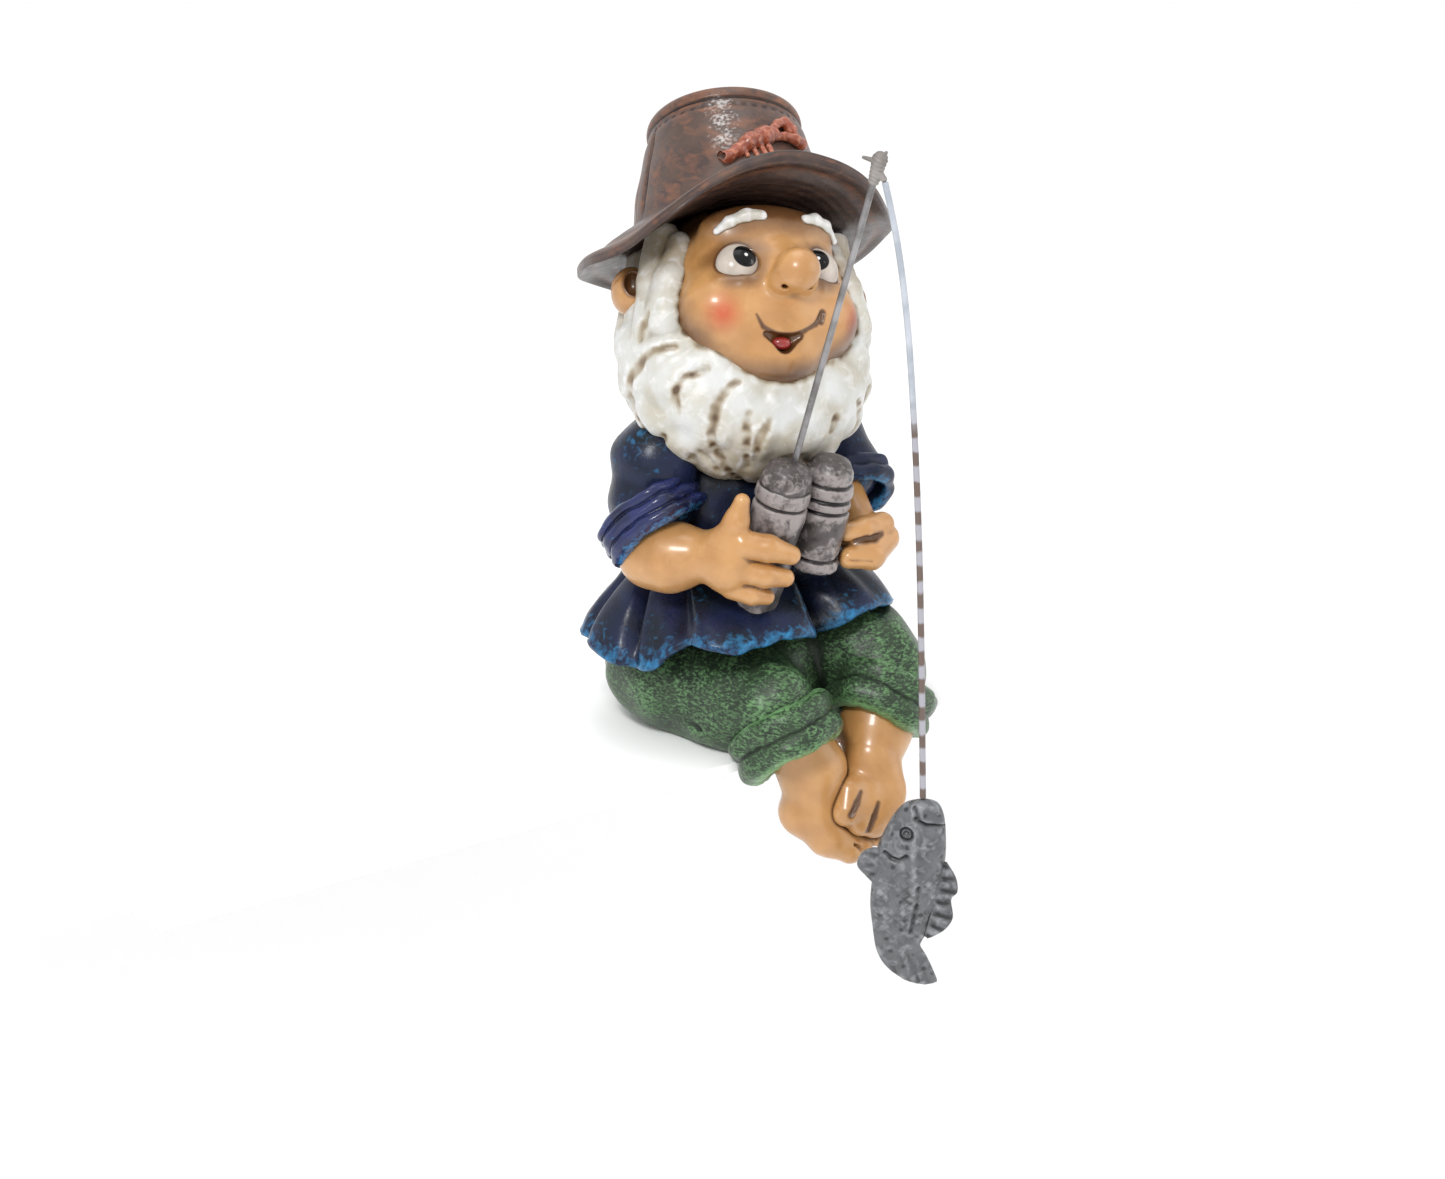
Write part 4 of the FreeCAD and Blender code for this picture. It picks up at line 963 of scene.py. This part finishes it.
def rightHandField(p):
    field = chain(p, [(-16.4, -1.3, 23.7), (-15.6, -3.8, 23.9), (-13.2, -8.2, 24.8)], [4.2, 4.0, 2.9], 1.5)
    field = joined(field, egg(p, (-12.4, -10.6, 24.7), (3.0, 3.2, 4.1)), 1.6)
    for path, radii in rightFingers:
        field = joined(field, chain(p, path, radii, 0.4), 0.35)
    thumb = chain(p, [(-12.6, -10.8, 27.2), (-11.9, -11.8, 29.8), (-11.4, -12.2, 32.2)], [1.9, 1.45, 0.95],
                  0.6)
    return joined(field, thumb, 0.8)


def fistSlit(p):
    return chain(p, [(4.4, -13.4, 24.4), (5.4, -14.0, 24.6), (6.6, -14.2, 24.6), (7.7, -14.1, 24.8)],
                 [0.3, 0.4, 0.42, 0.2], 0.2)


def leftHandField(p):
    field = chain(p, [(8.6, -5.4, 27.4), (7.4, -10.0, 25.0)], [2.5, 2.2], 1.0)
    field = joined(field, egg(p, (7.0, -11.5, 24.0), (3.2, 2.8, 2.5)), 1.0)
    field = joined(field, chain(p, [(9.6, -12.2, 23.4), (6.6, -13.5, 22.2), (3.6, -13.1, 22.4)],
                                [1.8, 1.7, 1.3],
                                0.5), 0.6)
    field = joined(field, chain(p, [(9.2, -12.2, 25.2), (6.0, -12.8, 25.3), (3.8, -12.4, 25.4)],
                                [1.5, 1.4, 1.1],
                                0.5), 0.4)
    return cutBy(cutBy(field, fistSlit(p), 0.2), limb(p, (2.7, -14.1, 22.5), (5.6, -15.0, 22.0), 0.2, 0.12),
                 0.3)


# the hands carry painted shade where they meet the binoculars and in the left fist's slit
verts, faces = fieldSurface(rightHandField, (-22.5, -17.2, 18.4), (-4.9, 4.5, 34), 0.17)
addPiece("RightHand", verts, faces, "figure", skinPaint, ("right_hand",),
         paintMarks(verts, faces, 16, 0.1, [barrelNear], 0.5))
verts, faces = fieldSurface(leftHandField, (1.5, -17.0, 19.5), (17.5, -1.5, 32), 0.17)
addPiece("LeftHand", verts, faces, "figure", skinPaint, ("left_hand",),
         paintMarks(verts, faces, 16, 0.1, [barrelNear, fistSlit], 0.45))

# trousers and their rolled cuffs
trousers = {"seat": ((-2.6, 3, 6), (15.3, 13.3, 8.9)), "shelfEdge": 12.5,
            "right": ((-8.0, -4.6, 5.6), (7.2, 6.9, 11.9), (1.5, -11, -1.6)),
            "left": ((8.2, -4.6, 8.2), (6.6, 6.9, 11.4), (2.2, -10, 0.3)),
            # cloth that fills each cuff from above
            "rightKnee": ((-8.0, -8.5, 5.6), (-7.4, -12.2, 5.8), 6.2, 5.5),
            "leftKnee": ((8.6, -8.5, 7.6), (9.3, -12.3, 6.6), 6.0, 5.5)}
trouserTucks = [([(-14.8, -6.4, 3.4), (-12.0, -10.6, 2.2), (-9.2, -12.6, 1.8)], [0.2, 0.3, 0.2]),
                ([(4.2, -12.6, 13.4), (4.0, -14.2, 9.8), (5.6, -14.4, 6.6)], [0.2, 0.3, 0.2])]


def trousersField(p):
    field = egg(p, *trousers["seat"])
    for leg in ("right", "left"):
        centre, radii, way = trousers[leg]
        field = joined(field, egg(p, centre, radii, axesAlong(way)), 1.1)
        field = joined(field, limb(p, *trousers[leg + "Knee"]), 1.1)
    for path, radii in trouserTucks:
        field = cutBy(field, chain(p, path, radii, 0.3), 0.9)
    field = field + 0.2 * waves(p, 5.0, 31)
    shelf = np.maximum(p[..., 2] - 0.02, -(p[..., 1] + trousers["shelfEdge"]))
    return cutBy(field, shelf, 0.5)


# painted shade between the legs
def crotchNear(p):
    return limb(p, (0.8, -10.5, 15.0), (0.6, -15.2, 7.0), 1.4, 1.0)


def skirtNear(p):
    # roughly the hem's ring, for the shade beneath it
    away = np.hypot(p[..., 0] + 1.6, p[..., 1] - 1.2)
    turn = np.arctan2(p[..., 0] + 1.6, -(p[..., 1] - 1.2))
    return np.hypot(away - around(hem["angles"], hem["radius"], turn) + 0.6,
                    p[..., 2] - around(hem["angles"], hem["height"], turn) + 0.6)


verts, faces = fieldSurface(trousersField, (-19.5, -18.8, -3.0), (17, 17.5, 16.8), 0.27)
# painted shade under the skirt's hem and between the legs
addPiece("Trousers", verts, faces, "figure", trouserPaint, ("trousers",),
         paintMarks(verts, faces, 24, 0.3, [skirtNear, crotchNear], 2.6))
rolledCuff("RightTrouserCuff", "right_trouser_cuff", (-7.2, -13.0, 5.0), (0.14, -0.56, -0.82), 6.9, 6.2,
           0.62, 2,
           trouserPaint, 1.0, 7)
rolledCuff("LeftTrouserCuff", "left_trouser_cuff", (9.9, -13.1, 6.2), (-0.6, -0.26, -0.75), 6.7, 6.2, 0.62, 2,
           trouserPaint, 1.0, 9)

# feet: a shin that spreads into a foot seen from above, with cuts between the toes
footAxes = np.column_stack([(0.79, -0.58, -0.2), (0.58, 0.6, -0.55), (0.44, 0.33, 0.83)])  # x across the toes
footToes = [((0.6, -19.6, -6.6), (0.3, -20.1, -8.6), 1.35), ((2.4, -19.8, -7.4), (2.3, -20.3, -9.4), 1.3),
            ((4.2, -19.5, -7.0), (4.3, -20.0, -8.9), 1.25), ((5.7, -18.8, -6.2), (5.9, -19.2, -7.8), 1.15)]
toeCuts = [([(0.1, -20.5, -4.2), (-0.9, -21.0, -5.2), (-2.0, -21.3, -6.4)], [0.12, 0.27, 0.26]),
           ([(1.9, -21.5, -5.7), (1.2, -21.6, -7.3), (0.5, -21.5, -9.0)], [0.1, 0.24, 0.27])]


def leftFootField(p):
    field = chain(p, [(7.4, -14.2, 3.0), (6.8, -14.7, 1.0), (4.6, -16.5, -2.0)], [3.8, 4.2, 3.7], 1.5)
    field = joined(field, egg(p, (2.7, -18.4, -5.6), (4.5, 2.5, 4.7), footAxes), 1.6)
    field = joined(field, limb(p, (-0.4, -18.7, -4.6), (-1.4, -19.6, -6.6), 1.8, 1.85), 1.7)
    for start, end, wide in footToes:
        field = joined(field, limb(p, start, end, wide, wide * 0.95), 1.1)
    for path, radii in toeCuts:
        field = cutBy(field, chain(p, path, radii, 0.2), 0.25)
    return field


def toeCutsNear(p):
    return np.minimum(*[chain(p, path, radii, 0.2) for path, radii in toeCuts])


def rightFootField(p):
    field = chain(p, [(-5.2, -14.5, 2.0), (-3.3, -15.2, -2.1), (-3.3, -15.9, -6.6)], [3.9, 3.9, 3.3], 1.5)
    field = joined(field, egg(p, (-4.3, -14.8, -7.4), (2.9, 2.9, 2.9)), 1.0)
    field = joined(field, chain(p, [(-4.0, -15.8, -7.6), (-2.2, -17.4, -10.2), (-0.4, -19.0, -12.0)],
                                [2.9, 2.6, 1.7],
                                0.8), 1.2)
    for k in range(3):
        tip = np.array([0.1 + 1.35 * k, -19.4 - 0.3 * k, -12.2 + 0.55 * k])
        field = joined(field, limb(p, tip - (1.0, -1.2, -1.2), tip, 1.1, 0.85), 0.3)
    return cutBy(field, limb(p, (-0.8, -19.8, -10.9), (0.6, -20.6, -11.9), 0.3, 0.35), 0.25)


def shelfFree(field):
    # the shelf's block is kept clear
    def cleared(p):
        shelf = np.maximum(p[..., 2] - 0.02, -(p[..., 1] + trousers["shelfEdge"] + 0.1))
        return np.maximum(field(p), -shelf)
    return cleared


# painted shade against the other foot and in the toe cuts
verts, faces = fieldSurface(shelfFree(leftFootField), (-4.2, -22.8, -12.6), (13, -9.5, 9.5), 0.17)
addPiece("LeftFoot", verts, faces, "figure", skinPaint, ("left_foot",),
         paintMarks(verts, faces, 20, 0.2, [rightFootField, toeCutsNear], 0.35))
verts, faces = fieldSurface(shelfFree(rightFootField), (-10.6, -22.0, -14.8), (4.5, -9.8, 5.5), 0.17)
addPiece("RightFoot", verts, faces, "figure", skinPaint, ("right_foot",),
         paintMarks(verts, faces, 20, 0.2, [leftFootField], 0.5))

# binoculars: rows turned about each tube's axis, with pits and dents of hand moulding
def turnedTube(name, node, foot, tip, rows, seed):
    foot, tip = np.array(foot, float), np.array(tip, float)
    axes = axesAlong(tip - foot)
    section = smoothRows(rows, 150)
    local = turnedGrid(section * (1, size(tip - foot)), 220)
    bumpy = waves(local, 1.5, seed)[:, None] * 0.05 + waves(local, 4.0, seed + 1)[:, None] * 0.1
    flat = local * (1, 1, 0)
    local = local + bumpy * flat / np.maximum(size(flat), 0.3)[:, None]
    verts = foot + local @ axes.T
    faces = gridFaces(len(section), 220)
    addPiece(name, verts, faces, "figure", pewterPaint, (node,),
             paintMarks(verts, faces, 14, 0.13))


turnedTube("RightBarrel", "right_barrel", (-7.7, -8.5, 14.9), (-4.9, -13.0, 36.0), [
    (0.02, 0), (1.8, 0.0), (2.5, 0.015), (2.75, 0.05), (2.7, 0.085), (2.2, 0.1), (2.25, 0.115), (2.75, 0.13),
    (2.85, 0.2), (3.0, 0.4), (3.15, 0.6), (3.2, 0.72), (3.15, 0.745), (2.8, 0.757), (2.8, 0.765),
    (3.25, 0.78),
    (3.3, 0.83), (3.2, 0.85), (3.05, 0.86), (3.1, 0.875), (2.95, 0.92), (2.45, 0.965), (1.4, 0.993),
    (0.02, 1)], 41)
turnedTube("LeftBarrel", "left_barrel", (-0.1, -10.9, 21.3), (1.3, -12.9, 35.4), [
    (0.02, 0), (2.0, 0.0), (2.7, 0.02), (2.95, 0.06), (2.85, 0.1), (2.45, 0.12), (2.5, 0.135), (2.7, 0.16),
    (2.85, 0.3), (3.0, 0.5), (2.95, 0.53), (2.6, 0.55), (2.62, 0.565), (3.05, 0.585), (3.05, 0.63),
    (2.65, 0.65),
    (2.7, 0.67), (3.1, 0.69), (3.1, 0.76), (2.65, 0.785), (2.7, 0.8), (2.85, 0.83), (2.75, 0.9), (2.1, 0.97),
    (1.1, 0.995), (0.02, 1)], 47)

# rod, knot and line
def wireFinish(name, shades, roughness, metallic, banding=None):
    # a thin wire or thread: one colour that drifts along it, with optional bands below a height
    material = bpy.data.materials.new(name)
    material.use_nodes = True
    tree = material.node_tree
    tree.nodes.clear()
    place = add(tree, "TexCoord", output="Object")
    inMm = add(tree, "Mapping", {"Vector": place, "Scale": perMm})
    drift = add(tree, "TexNoise", {"Vector": inMm, "Scale": 0.35, "Detail": 4.0}, "Fac")
    shift = add(tree, "MapRange", (drift, 0.35, 0.65, 0.0, 1.0))
    base = add(tree, "Mix", mixSockets(shift, colour(shades[0]), colour(shades[1])), 2, data_type="RGBA")
    if banding:
        height = add(tree, "SeparateXYZ", (inMm,), "Z")
        band = add(tree, "Math", (height, 2 * math.pi / banding["pitch"]), operation="MULTIPLY")
        band = add(tree, "Math", (band,), operation="SINE")
        uneven = add(tree, "Math", (drift, 0.5), operation="SUBTRACT")
        uneven = add(tree, "Math", (uneven, 3), operation="MULTIPLY")
        band = add(tree, "Math", (band, uneven), operation="ADD")
        band = add(tree, "MapRange", (band, -0.3, 0.3, 0.0, 1.0))
        banded = add(tree, "Mix", mixSockets(band, *map(colour, banding["shades"])), 2, data_type="RGBA")
        below = add(tree, "MapRange", (height, banding["below"] - 2, banding["below"] + 2, 1.0, 0.0))
        base = add(tree, "Mix", mixSockets(below, base, banded), 2, data_type="RGBA")
    fine = add(tree, "TexNoise", {"Vector": inMm, "Scale": 3.0, "Detail": 3.0}, "Fac")
    bump = add(tree, "Bump", {"Height": fine, "Strength": 0.2, "Distance": 0.00005})
    rough = add(tree, "MapRange", (fine, 0.3, 0.7, roughness - 0.05, roughness + 0.12))
    shader = add(tree, "BsdfPrincipled", {"Base Color": base, "Metallic": metallic, "Roughness": rough,
                                          "Normal": bump})
    add(tree, "OutputMaterial", {"Surface": shader})
    return material


# drawn wire, dulled by handling
rodFinish = wireFinish("DrawnSteelWireDulled", ("9a9899", "6f6c6c"), 0.38, 0.85)
rodWire = frame["nodes"]["rod_wire"]
rodWire.data.materials.clear()
rodWire.data.materials.append(rodFinish)
# clear nylon above, braid below
lineFinish = wireFinish("NylonLineOverBraid", ("b9bec6", "9ba1aa"), 0.35, 0.0, {
    "below": 45, "pitch": 3.4, "shades": ("5f5048", "9c9ba3")})
# grey-brown thread, wound and glued
knotFinish = wireFinish("WaxedThreadWrapping", ("5c5450", "8d8884"), 0.5, 0.0)

knot = {"radius": 0.72, "half": 1.35, "pitch": 0.5, "wrapDeep": 0.11}


def knotField(p):
    # a thread wound round the tip: a short limb whose radius ripples as it climbs, and two cut ends
    q = (p - rodTip) @ axesAlong(rodAxis).astype(np.float32)
    climb = q[..., 2] / knot["pitch"] * 2 * np.pi + np.arctan2(q[..., 1], q[..., 0])
    field = limb(q, (0, 0, -knot["half"]), (0, 0, knot["half"]), knot["radius"] * 0.8, knot["radius"] * 1.15)
    field = field - knot["wrapDeep"] * np.abs(np.sin(climb / 2))
    across = np.array([0.81, -0.59, 0])
    field = joined(field, limb(p, rodTip + rodAxis * 1.0, rodTip + rodAxis * 1.6 - across * 1.9, 0.4, 0.2),
                   0.15)
    field = joined(field, limb(p, rodTip + rodAxis * 1.0, rodTip + rodAxis * 2.2 + across * 0.5, 0.36, 0.2),
                   0.15)
    return joined(field, limb(p, rodTip, (-1.32, -25.2, 71.9), 0.45, 0.38), 0.2)


verts, faces = fieldSurface(knotField, rodTip - 3.4, rodTip + 3.4, 0.1)
addPiece("TipKnot", verts, faces, "knot", knotFinish, ("tip_knot",),
         paintMarks(verts, faces, 8, 0.08))

lineRoute = [(-1.32, -25.42, 71.6), (-0.95, -26.7, 67.2), (-0.6, -27.9, 61.2), (-0.35, -28.8, 54.8),
             (-0.2, -29.45, 48.2), (-0.05, -30.1, 40.4), (0.15, -30.8, 28.8), (0.3, -31.35, 15.0),
             (0.45, -31.75, -1.2)]
curve = bpy.data.curves.new("FishingLine", "CURVE")
curve.dimensions, curve.bevel_depth, curve.bevel_resolution, curve.use_fill_caps = "3D", 0.375 * mm, 4, True
spline = curve.splines.new("NURBS")
spline.points.add(len(lineRoute) - 1)
spline.points.foreach_set("co", np.column_stack([np.array(lineRoute) * mm, np.ones(len(lineRoute))]).ravel())
spline.order_u, spline.use_endpoint_u, spline.resolution_u = 3, True, 16
curve.materials.append(lineFinish)
line = bpy.data.objects.new("FishingLine", curve)
bpy.context.collection.objects.link(line)
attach(line, "line")
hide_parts("fishing_line")
print("rod, knot and line are up")

# fish: rows down its length, each a flattened ring between its back and belly outlines
fishTurn = turnAbout("Z", -36)
fishTop = fishMouth - (0, 0, 0.15)


def fromFish(local):
    # fish axes: x across it, -y towards the viewer's side, z up to its mouth
    return fishTop + local @ fishTurn.T


fish = {"left": [(-0.8, 0), (-2.3, -0.8), (-3.5, -2.2), (-4.6, -4.4), (-5.2, -6.0), (-5.4, -8), (-5.8, -10.2),
                 (-6.0, -13), (-5.8, -15.4), (-5.2, -19.2), (-4.0, -21.4), (-2.3, -22.8), (-0.7, -23.7)],
        "right": [(1.2, 0), (2.1, -1.0), (2.6, -2.6), (2.8, -5.5), (2.7, -8.0), (2.3, -11), (1.7, -14),
                  (0.9, -16.6),
                  (0.2, -18.0), (0.0, -18.8), (0.7, -20), (1.5, -21.8), (2.0, -23.1), (1.9, -23.7)],
        "thick": [(0.9, 0), (1.6, -1.5), (2.1, -4), (2.3, -7), (2.1, -11), (1.6, -15), (0.9, -18.5),
                  (0.55, -21),
                  (0.3, -23.7)]}
fishZ = -np.concatenate([[0.0], np.linspace(0.03, 0.4, 5), np.linspace(0.6, 23.4, 200),
                         [23.6, 23.7]])[:, None]


def outline(label):
    rows = smoothRows(fish[label], 200)
    return np.interp(fishZ[:, 0], rows[::-1, 1], rows[::-1, 0])[:, None]


def trackGap(x, z, path):
    # distance in the fish's flat view from a run of points
    gap = np.full(np.broadcast(x, z).shape, 99.0)
    for (x0, z0), (x1, z1) in zip(path, path[1:]):
        wayX, wayZ = x1 - x0, z1 - z0
        t = np.clip(((x - x0) * wayX + (z - z0) * wayZ) / (wayX ** 2 + wayZ ** 2), 0, 1)
        gap = np.minimum(gap, np.hypot(x - x0 - t * wayX, z - z0 - t * wayZ))
    return gap


turn = (np.arange(260) * 2 * np.pi / 260)[None, :]
left, right, half = outline("left"), outline("right"), outline("thick")
endShare = np.sqrt(np.clip(-fishZ / 0.5, 0.02, 1)) * np.sqrt(np.clip((23.75 + fishZ) / 0.3, 0.1, 1))
x = (left + right) / 2 + (right - left) / 2 * np.sign(np.cos(turn)) * np.abs(np.cos(turn)) ** 0.85 * endShare
y = -half * np.sign(np.sin(turn)) * np.abs(np.sin(turn)) ** 0.95 * endShare
z = fishZ + 0 * turn
skin = 0.42 * np.exp(-(trackGap(x, z, [(-0.9, -2.6), (-1.2, -6), (-1.0, -10), (-0.8, -12)]) / 0.55) ** 2)
skin = skin - 0.5 * np.exp(-(trackGap(x, z, [(-4.3, -6.2), (-3.6, -6.8), (-2.7, -7.0),
                                             (-1.9, -6.5)]) / 0.3) ** 2)
skin = skin - 0.5 * np.exp(-(trackGap(x, z, [(-0.9, -1.9), (0.3, -2.6), (1.4, -2.8),
                                             (2.6, -3.2)]) / 0.22) ** 2)
skin = skin - 0.35 * np.exp(-(trackGap(x, z, [(-0.9, -0.7), (-0.6, -1.7)]) / 0.25) ** 2)
skin = skin - 0.4 * np.exp(-(trackGap(x, z, [(-0.5, -10.5), (-0.6, -13), (-1.2, -16.4)]) / 0.3) ** 2)
skin = skin - 0.45 * np.exp(-((np.hypot(x + 1.9, z + 3.7) - 0.66) / 0.17) ** 2)
scales = np.abs(np.sin((x * 0.9 + z) * 2.5)) * np.abs(np.sin((x * 0.9 - z) * 2.5))  # diamond rows of scales
onFlank = ease((-z - 7.5) / 1.5) * ease((19 + z) / 1.5) * ease(np.abs(np.sin(turn)) * 2.5 - 0.4)
tailRays = 0.10 * np.sin((x + z * 0.35) * 5.5) * ease((-z - 18.5) / 1.5)
skin = skin + 0.12 * (scales - 0.4) * onFlank + tailRays
bodyLocal = np.stack([x, y - skin * np.sign(np.sin(turn)) * ease(np.abs(np.sin(turn)) * 3), z],
                     -1).reshape(-1, 3)
bodyLocal = bodyLocal + 0.09 * waves(bodyLocal, 2.2, 61)[:, None] * (0, 1, 0)
faces = gridFaces(len(fishZ), 260)
marks = paintMarks(bodyLocal, faces, 14, 0.2)


def addSpeckles(tree, base, place, inMm, blotch):
    # black dots of paint, about half a millimetre across and 1.3 apart
    cells = add(tree, "TexVoronoi", {"Vector": inMm, "Scale": 0.78, "Randomness": 1.0}, "Distance")
    uneven = add(tree, "Math", (blotch, 0.35), operation="MULTIPLY")
    dots = add(tree, "Math", (cells, uneven), operation="ADD")
    dots = add(tree, "MapRange", (dots, 0.34, 0.46, 0.8, 0.0))
    return add(tree, "Mix", mixSockets(dots, base, colour("232427")), 2, data_type="RGBA")


fishPaint = paintedResin("SilverGreyFishPaint", {  # flat silver grey, black speckles along the flanks
    "base": "5f6063", "second": "47484b", "washAndShade": "0e0f11", "brush": "989b9f", "blotch": 1.8, "bristle": 1.1,
    "brushGain": 0.3, "brushFrom": 0.5, "brushSoft": 0.35, "brushMost": 0.8, "washGain": 1.5,
    "washAndShadeMost": 0.95,
    "gloss": 0.42, "grain": 0.4, "bump": 0.3, "coat": 0.15, "ior": 1.4, "patch": 0.5}, addSpeckles)
fishPieces = [addPiece("FishBody", fromFish(bodyLocal), faces, "fish", fishPaint,
                       ("fish_body", "fish_tail"), marks)]


def fin(name, node, root, tip, thick, rays, depth):
    # A fan between a root line and a tip line: thin at the tip and ends, with rays as ripples across it.
    u = np.linspace(0, 1, 90)[:, None, None]
    sweep = np.linspace(0, 2, 120, endpoint=False)[None, :, None]
    v = np.where(sweep <= 1, sweep, 2 - sweep)
    face = np.where(sweep <= 1, -1.0, 1.0)
    rootRow, tipRow = smoothRows(root, 90)[:, None], smoothRows(tip, 90)[:, None]
    flat = rootRow + (tipRow - rootRow) * v
    wall = thick * np.sqrt(np.clip(1 - v ** 4, 0, 1)) * np.sqrt(np.clip(1 - (2 * u - 1) ** 8, 0, 1))
    wall = wall * (1 + 0.35 * np.sin(rays * 2 * np.pi * u) * ease(v * 3))
    local = np.concatenate([flat[..., :1], depth + face * wall, flat[..., 1:]], -1)
    verts = local.reshape(-1, 3)
    faces = gridFaces(90, 120)
    return addPiece(name, fromFish(verts), faces, "fish", fishPaint, (node,),
                    paintMarks(verts, faces, 12, 0.1))


fishPieces.append(fin("NearFin", "near_fin", [(-4.6, -6.2), (-5.0, -8.0), (-5.2, -10.4)],
                      [(-5.6, -6.0), (-7.0, -6.6), (-7.6, -8.2), (-6.6, -9.6), (-5.6, -10.6)], 0.5, 3.5,
                      -0.3))
fishPieces.append(fin("FarFin", "far_fin", [(2.2, -7.6), (1.6, -11.0), (1.0, -14.0), (0.3, -17.2)],
                      [(2.9, -7.8), (4.0, -9.8), (4.2, -11.6), (3.5, -12.6), (3.7, -15.0), (2.6, -16.6),
                       (0.8, -17.6)],
                      0.55, 6.5, -0.5))
bead = turnedGrid(smoothRows([(0.01, 0.42), (0.25, 0.36), (0.42, 0.12), (0.42, -0.7), (0.01, -0.75)], 40), 60)
beadTurn = axesAlong((0, -1, 0), (0, 0, 1))
eyeFinish = wireFinish("BlackGlossEyeBead", ("2a2b2e", "4b4d50"), 0.2, 0.0)  # a bead of gloss black
fishPieces.append(addPiece("FishEye", fromFish(bead @ beadTurn.T + (-1.9, -1.95, -3.7)), gridFaces(40, 60),
                           "fish",
                           eyeFinish, ("fish_eye",)))

# the bar between the tubes keeps its shape and takes the pewter paint
bridge = frame["nodes"]["barrel_bridge"]
bridge.data.materials.clear()
bridge.data.materials.append(pewterPaint)

# where it stands: a pale shelf under the seat, a pale floor far below, soft light
def stageMaterial():
    material = bpy.data.materials.new("MattWhiteBackdrop")
    material.use_nodes = True
    tree = material.node_tree
    tree.nodes.clear()
    shader = add(tree, "BsdfPrincipled", {"Base Color": colour("fcfcfc"), "Roughness": 0.9})
    add(tree, "OutputMaterial", {"Surface": shader})
    return material


def stageBox(name, low, high, material):
    low, high = np.array(low, float), np.array(high, float)
    verts = np.array([[low[0] if i < 4 else high[0], low[1] if i % 4 < 2 else high[1],
                       low[2] if i % 2 == 0 else high[2]] for i in range(8)])
    mesh = bpy.data.meshes.new(name)
    mesh.from_pydata(verts * mm, [], [(0, 1, 3, 2), (4, 6, 7, 5), (0, 4, 5, 1), (2, 3, 7, 6), (0, 2, 6, 4),
                                      (1, 5, 7, 3)])
    mesh.materials.append(material)
    piece = bpy.data.objects.new(name, mesh)
    bpy.context.collection.objects.link(piece)


backdrop = stageMaterial()
stageBox("Shelf", (-90, -12.5, -1.2), (90, 120, 0), backdrop)
stageBox("Floor", (-900, -900, -62), (900, 1500, -60), backdrop)


def softLight(name, place, aim, power, wide):
    lamp = bpy.data.lights.new(name, "AREA")
    lamp.energy, lamp.size = power, wide * mm
    holder = bpy.data.objects.new(name, lamp)
    holder.location = Vector(place) * mm
    holder.rotation_euler = (Vector(aim) * mm - holder.location).to_track_quat("-Z", "Y").to_euler()
    bpy.context.collection.objects.link(holder)


softLight("KeyFromUpperLeft", (-330, -260, 420), (0, 0, 30), 1.7, 110)
softLight("FillFromRight", (330, -260, 160), (0, 0, 30), 0.3, 300)
softLight("TopSoft", (40, 60, 480), (0, 0, 30), 0.5, 300)
world = bpy.data.worlds.new("White")
world.use_nodes = True
world.node_tree.nodes["Background"].inputs["Color"].default_value = (1, 1, 1, 1)
world.node_tree.nodes["Background"].inputs["Strength"].default_value = 0.95
bpy.context.scene.world = world
bpy.context.scene.view_settings.view_transform = "Standard"
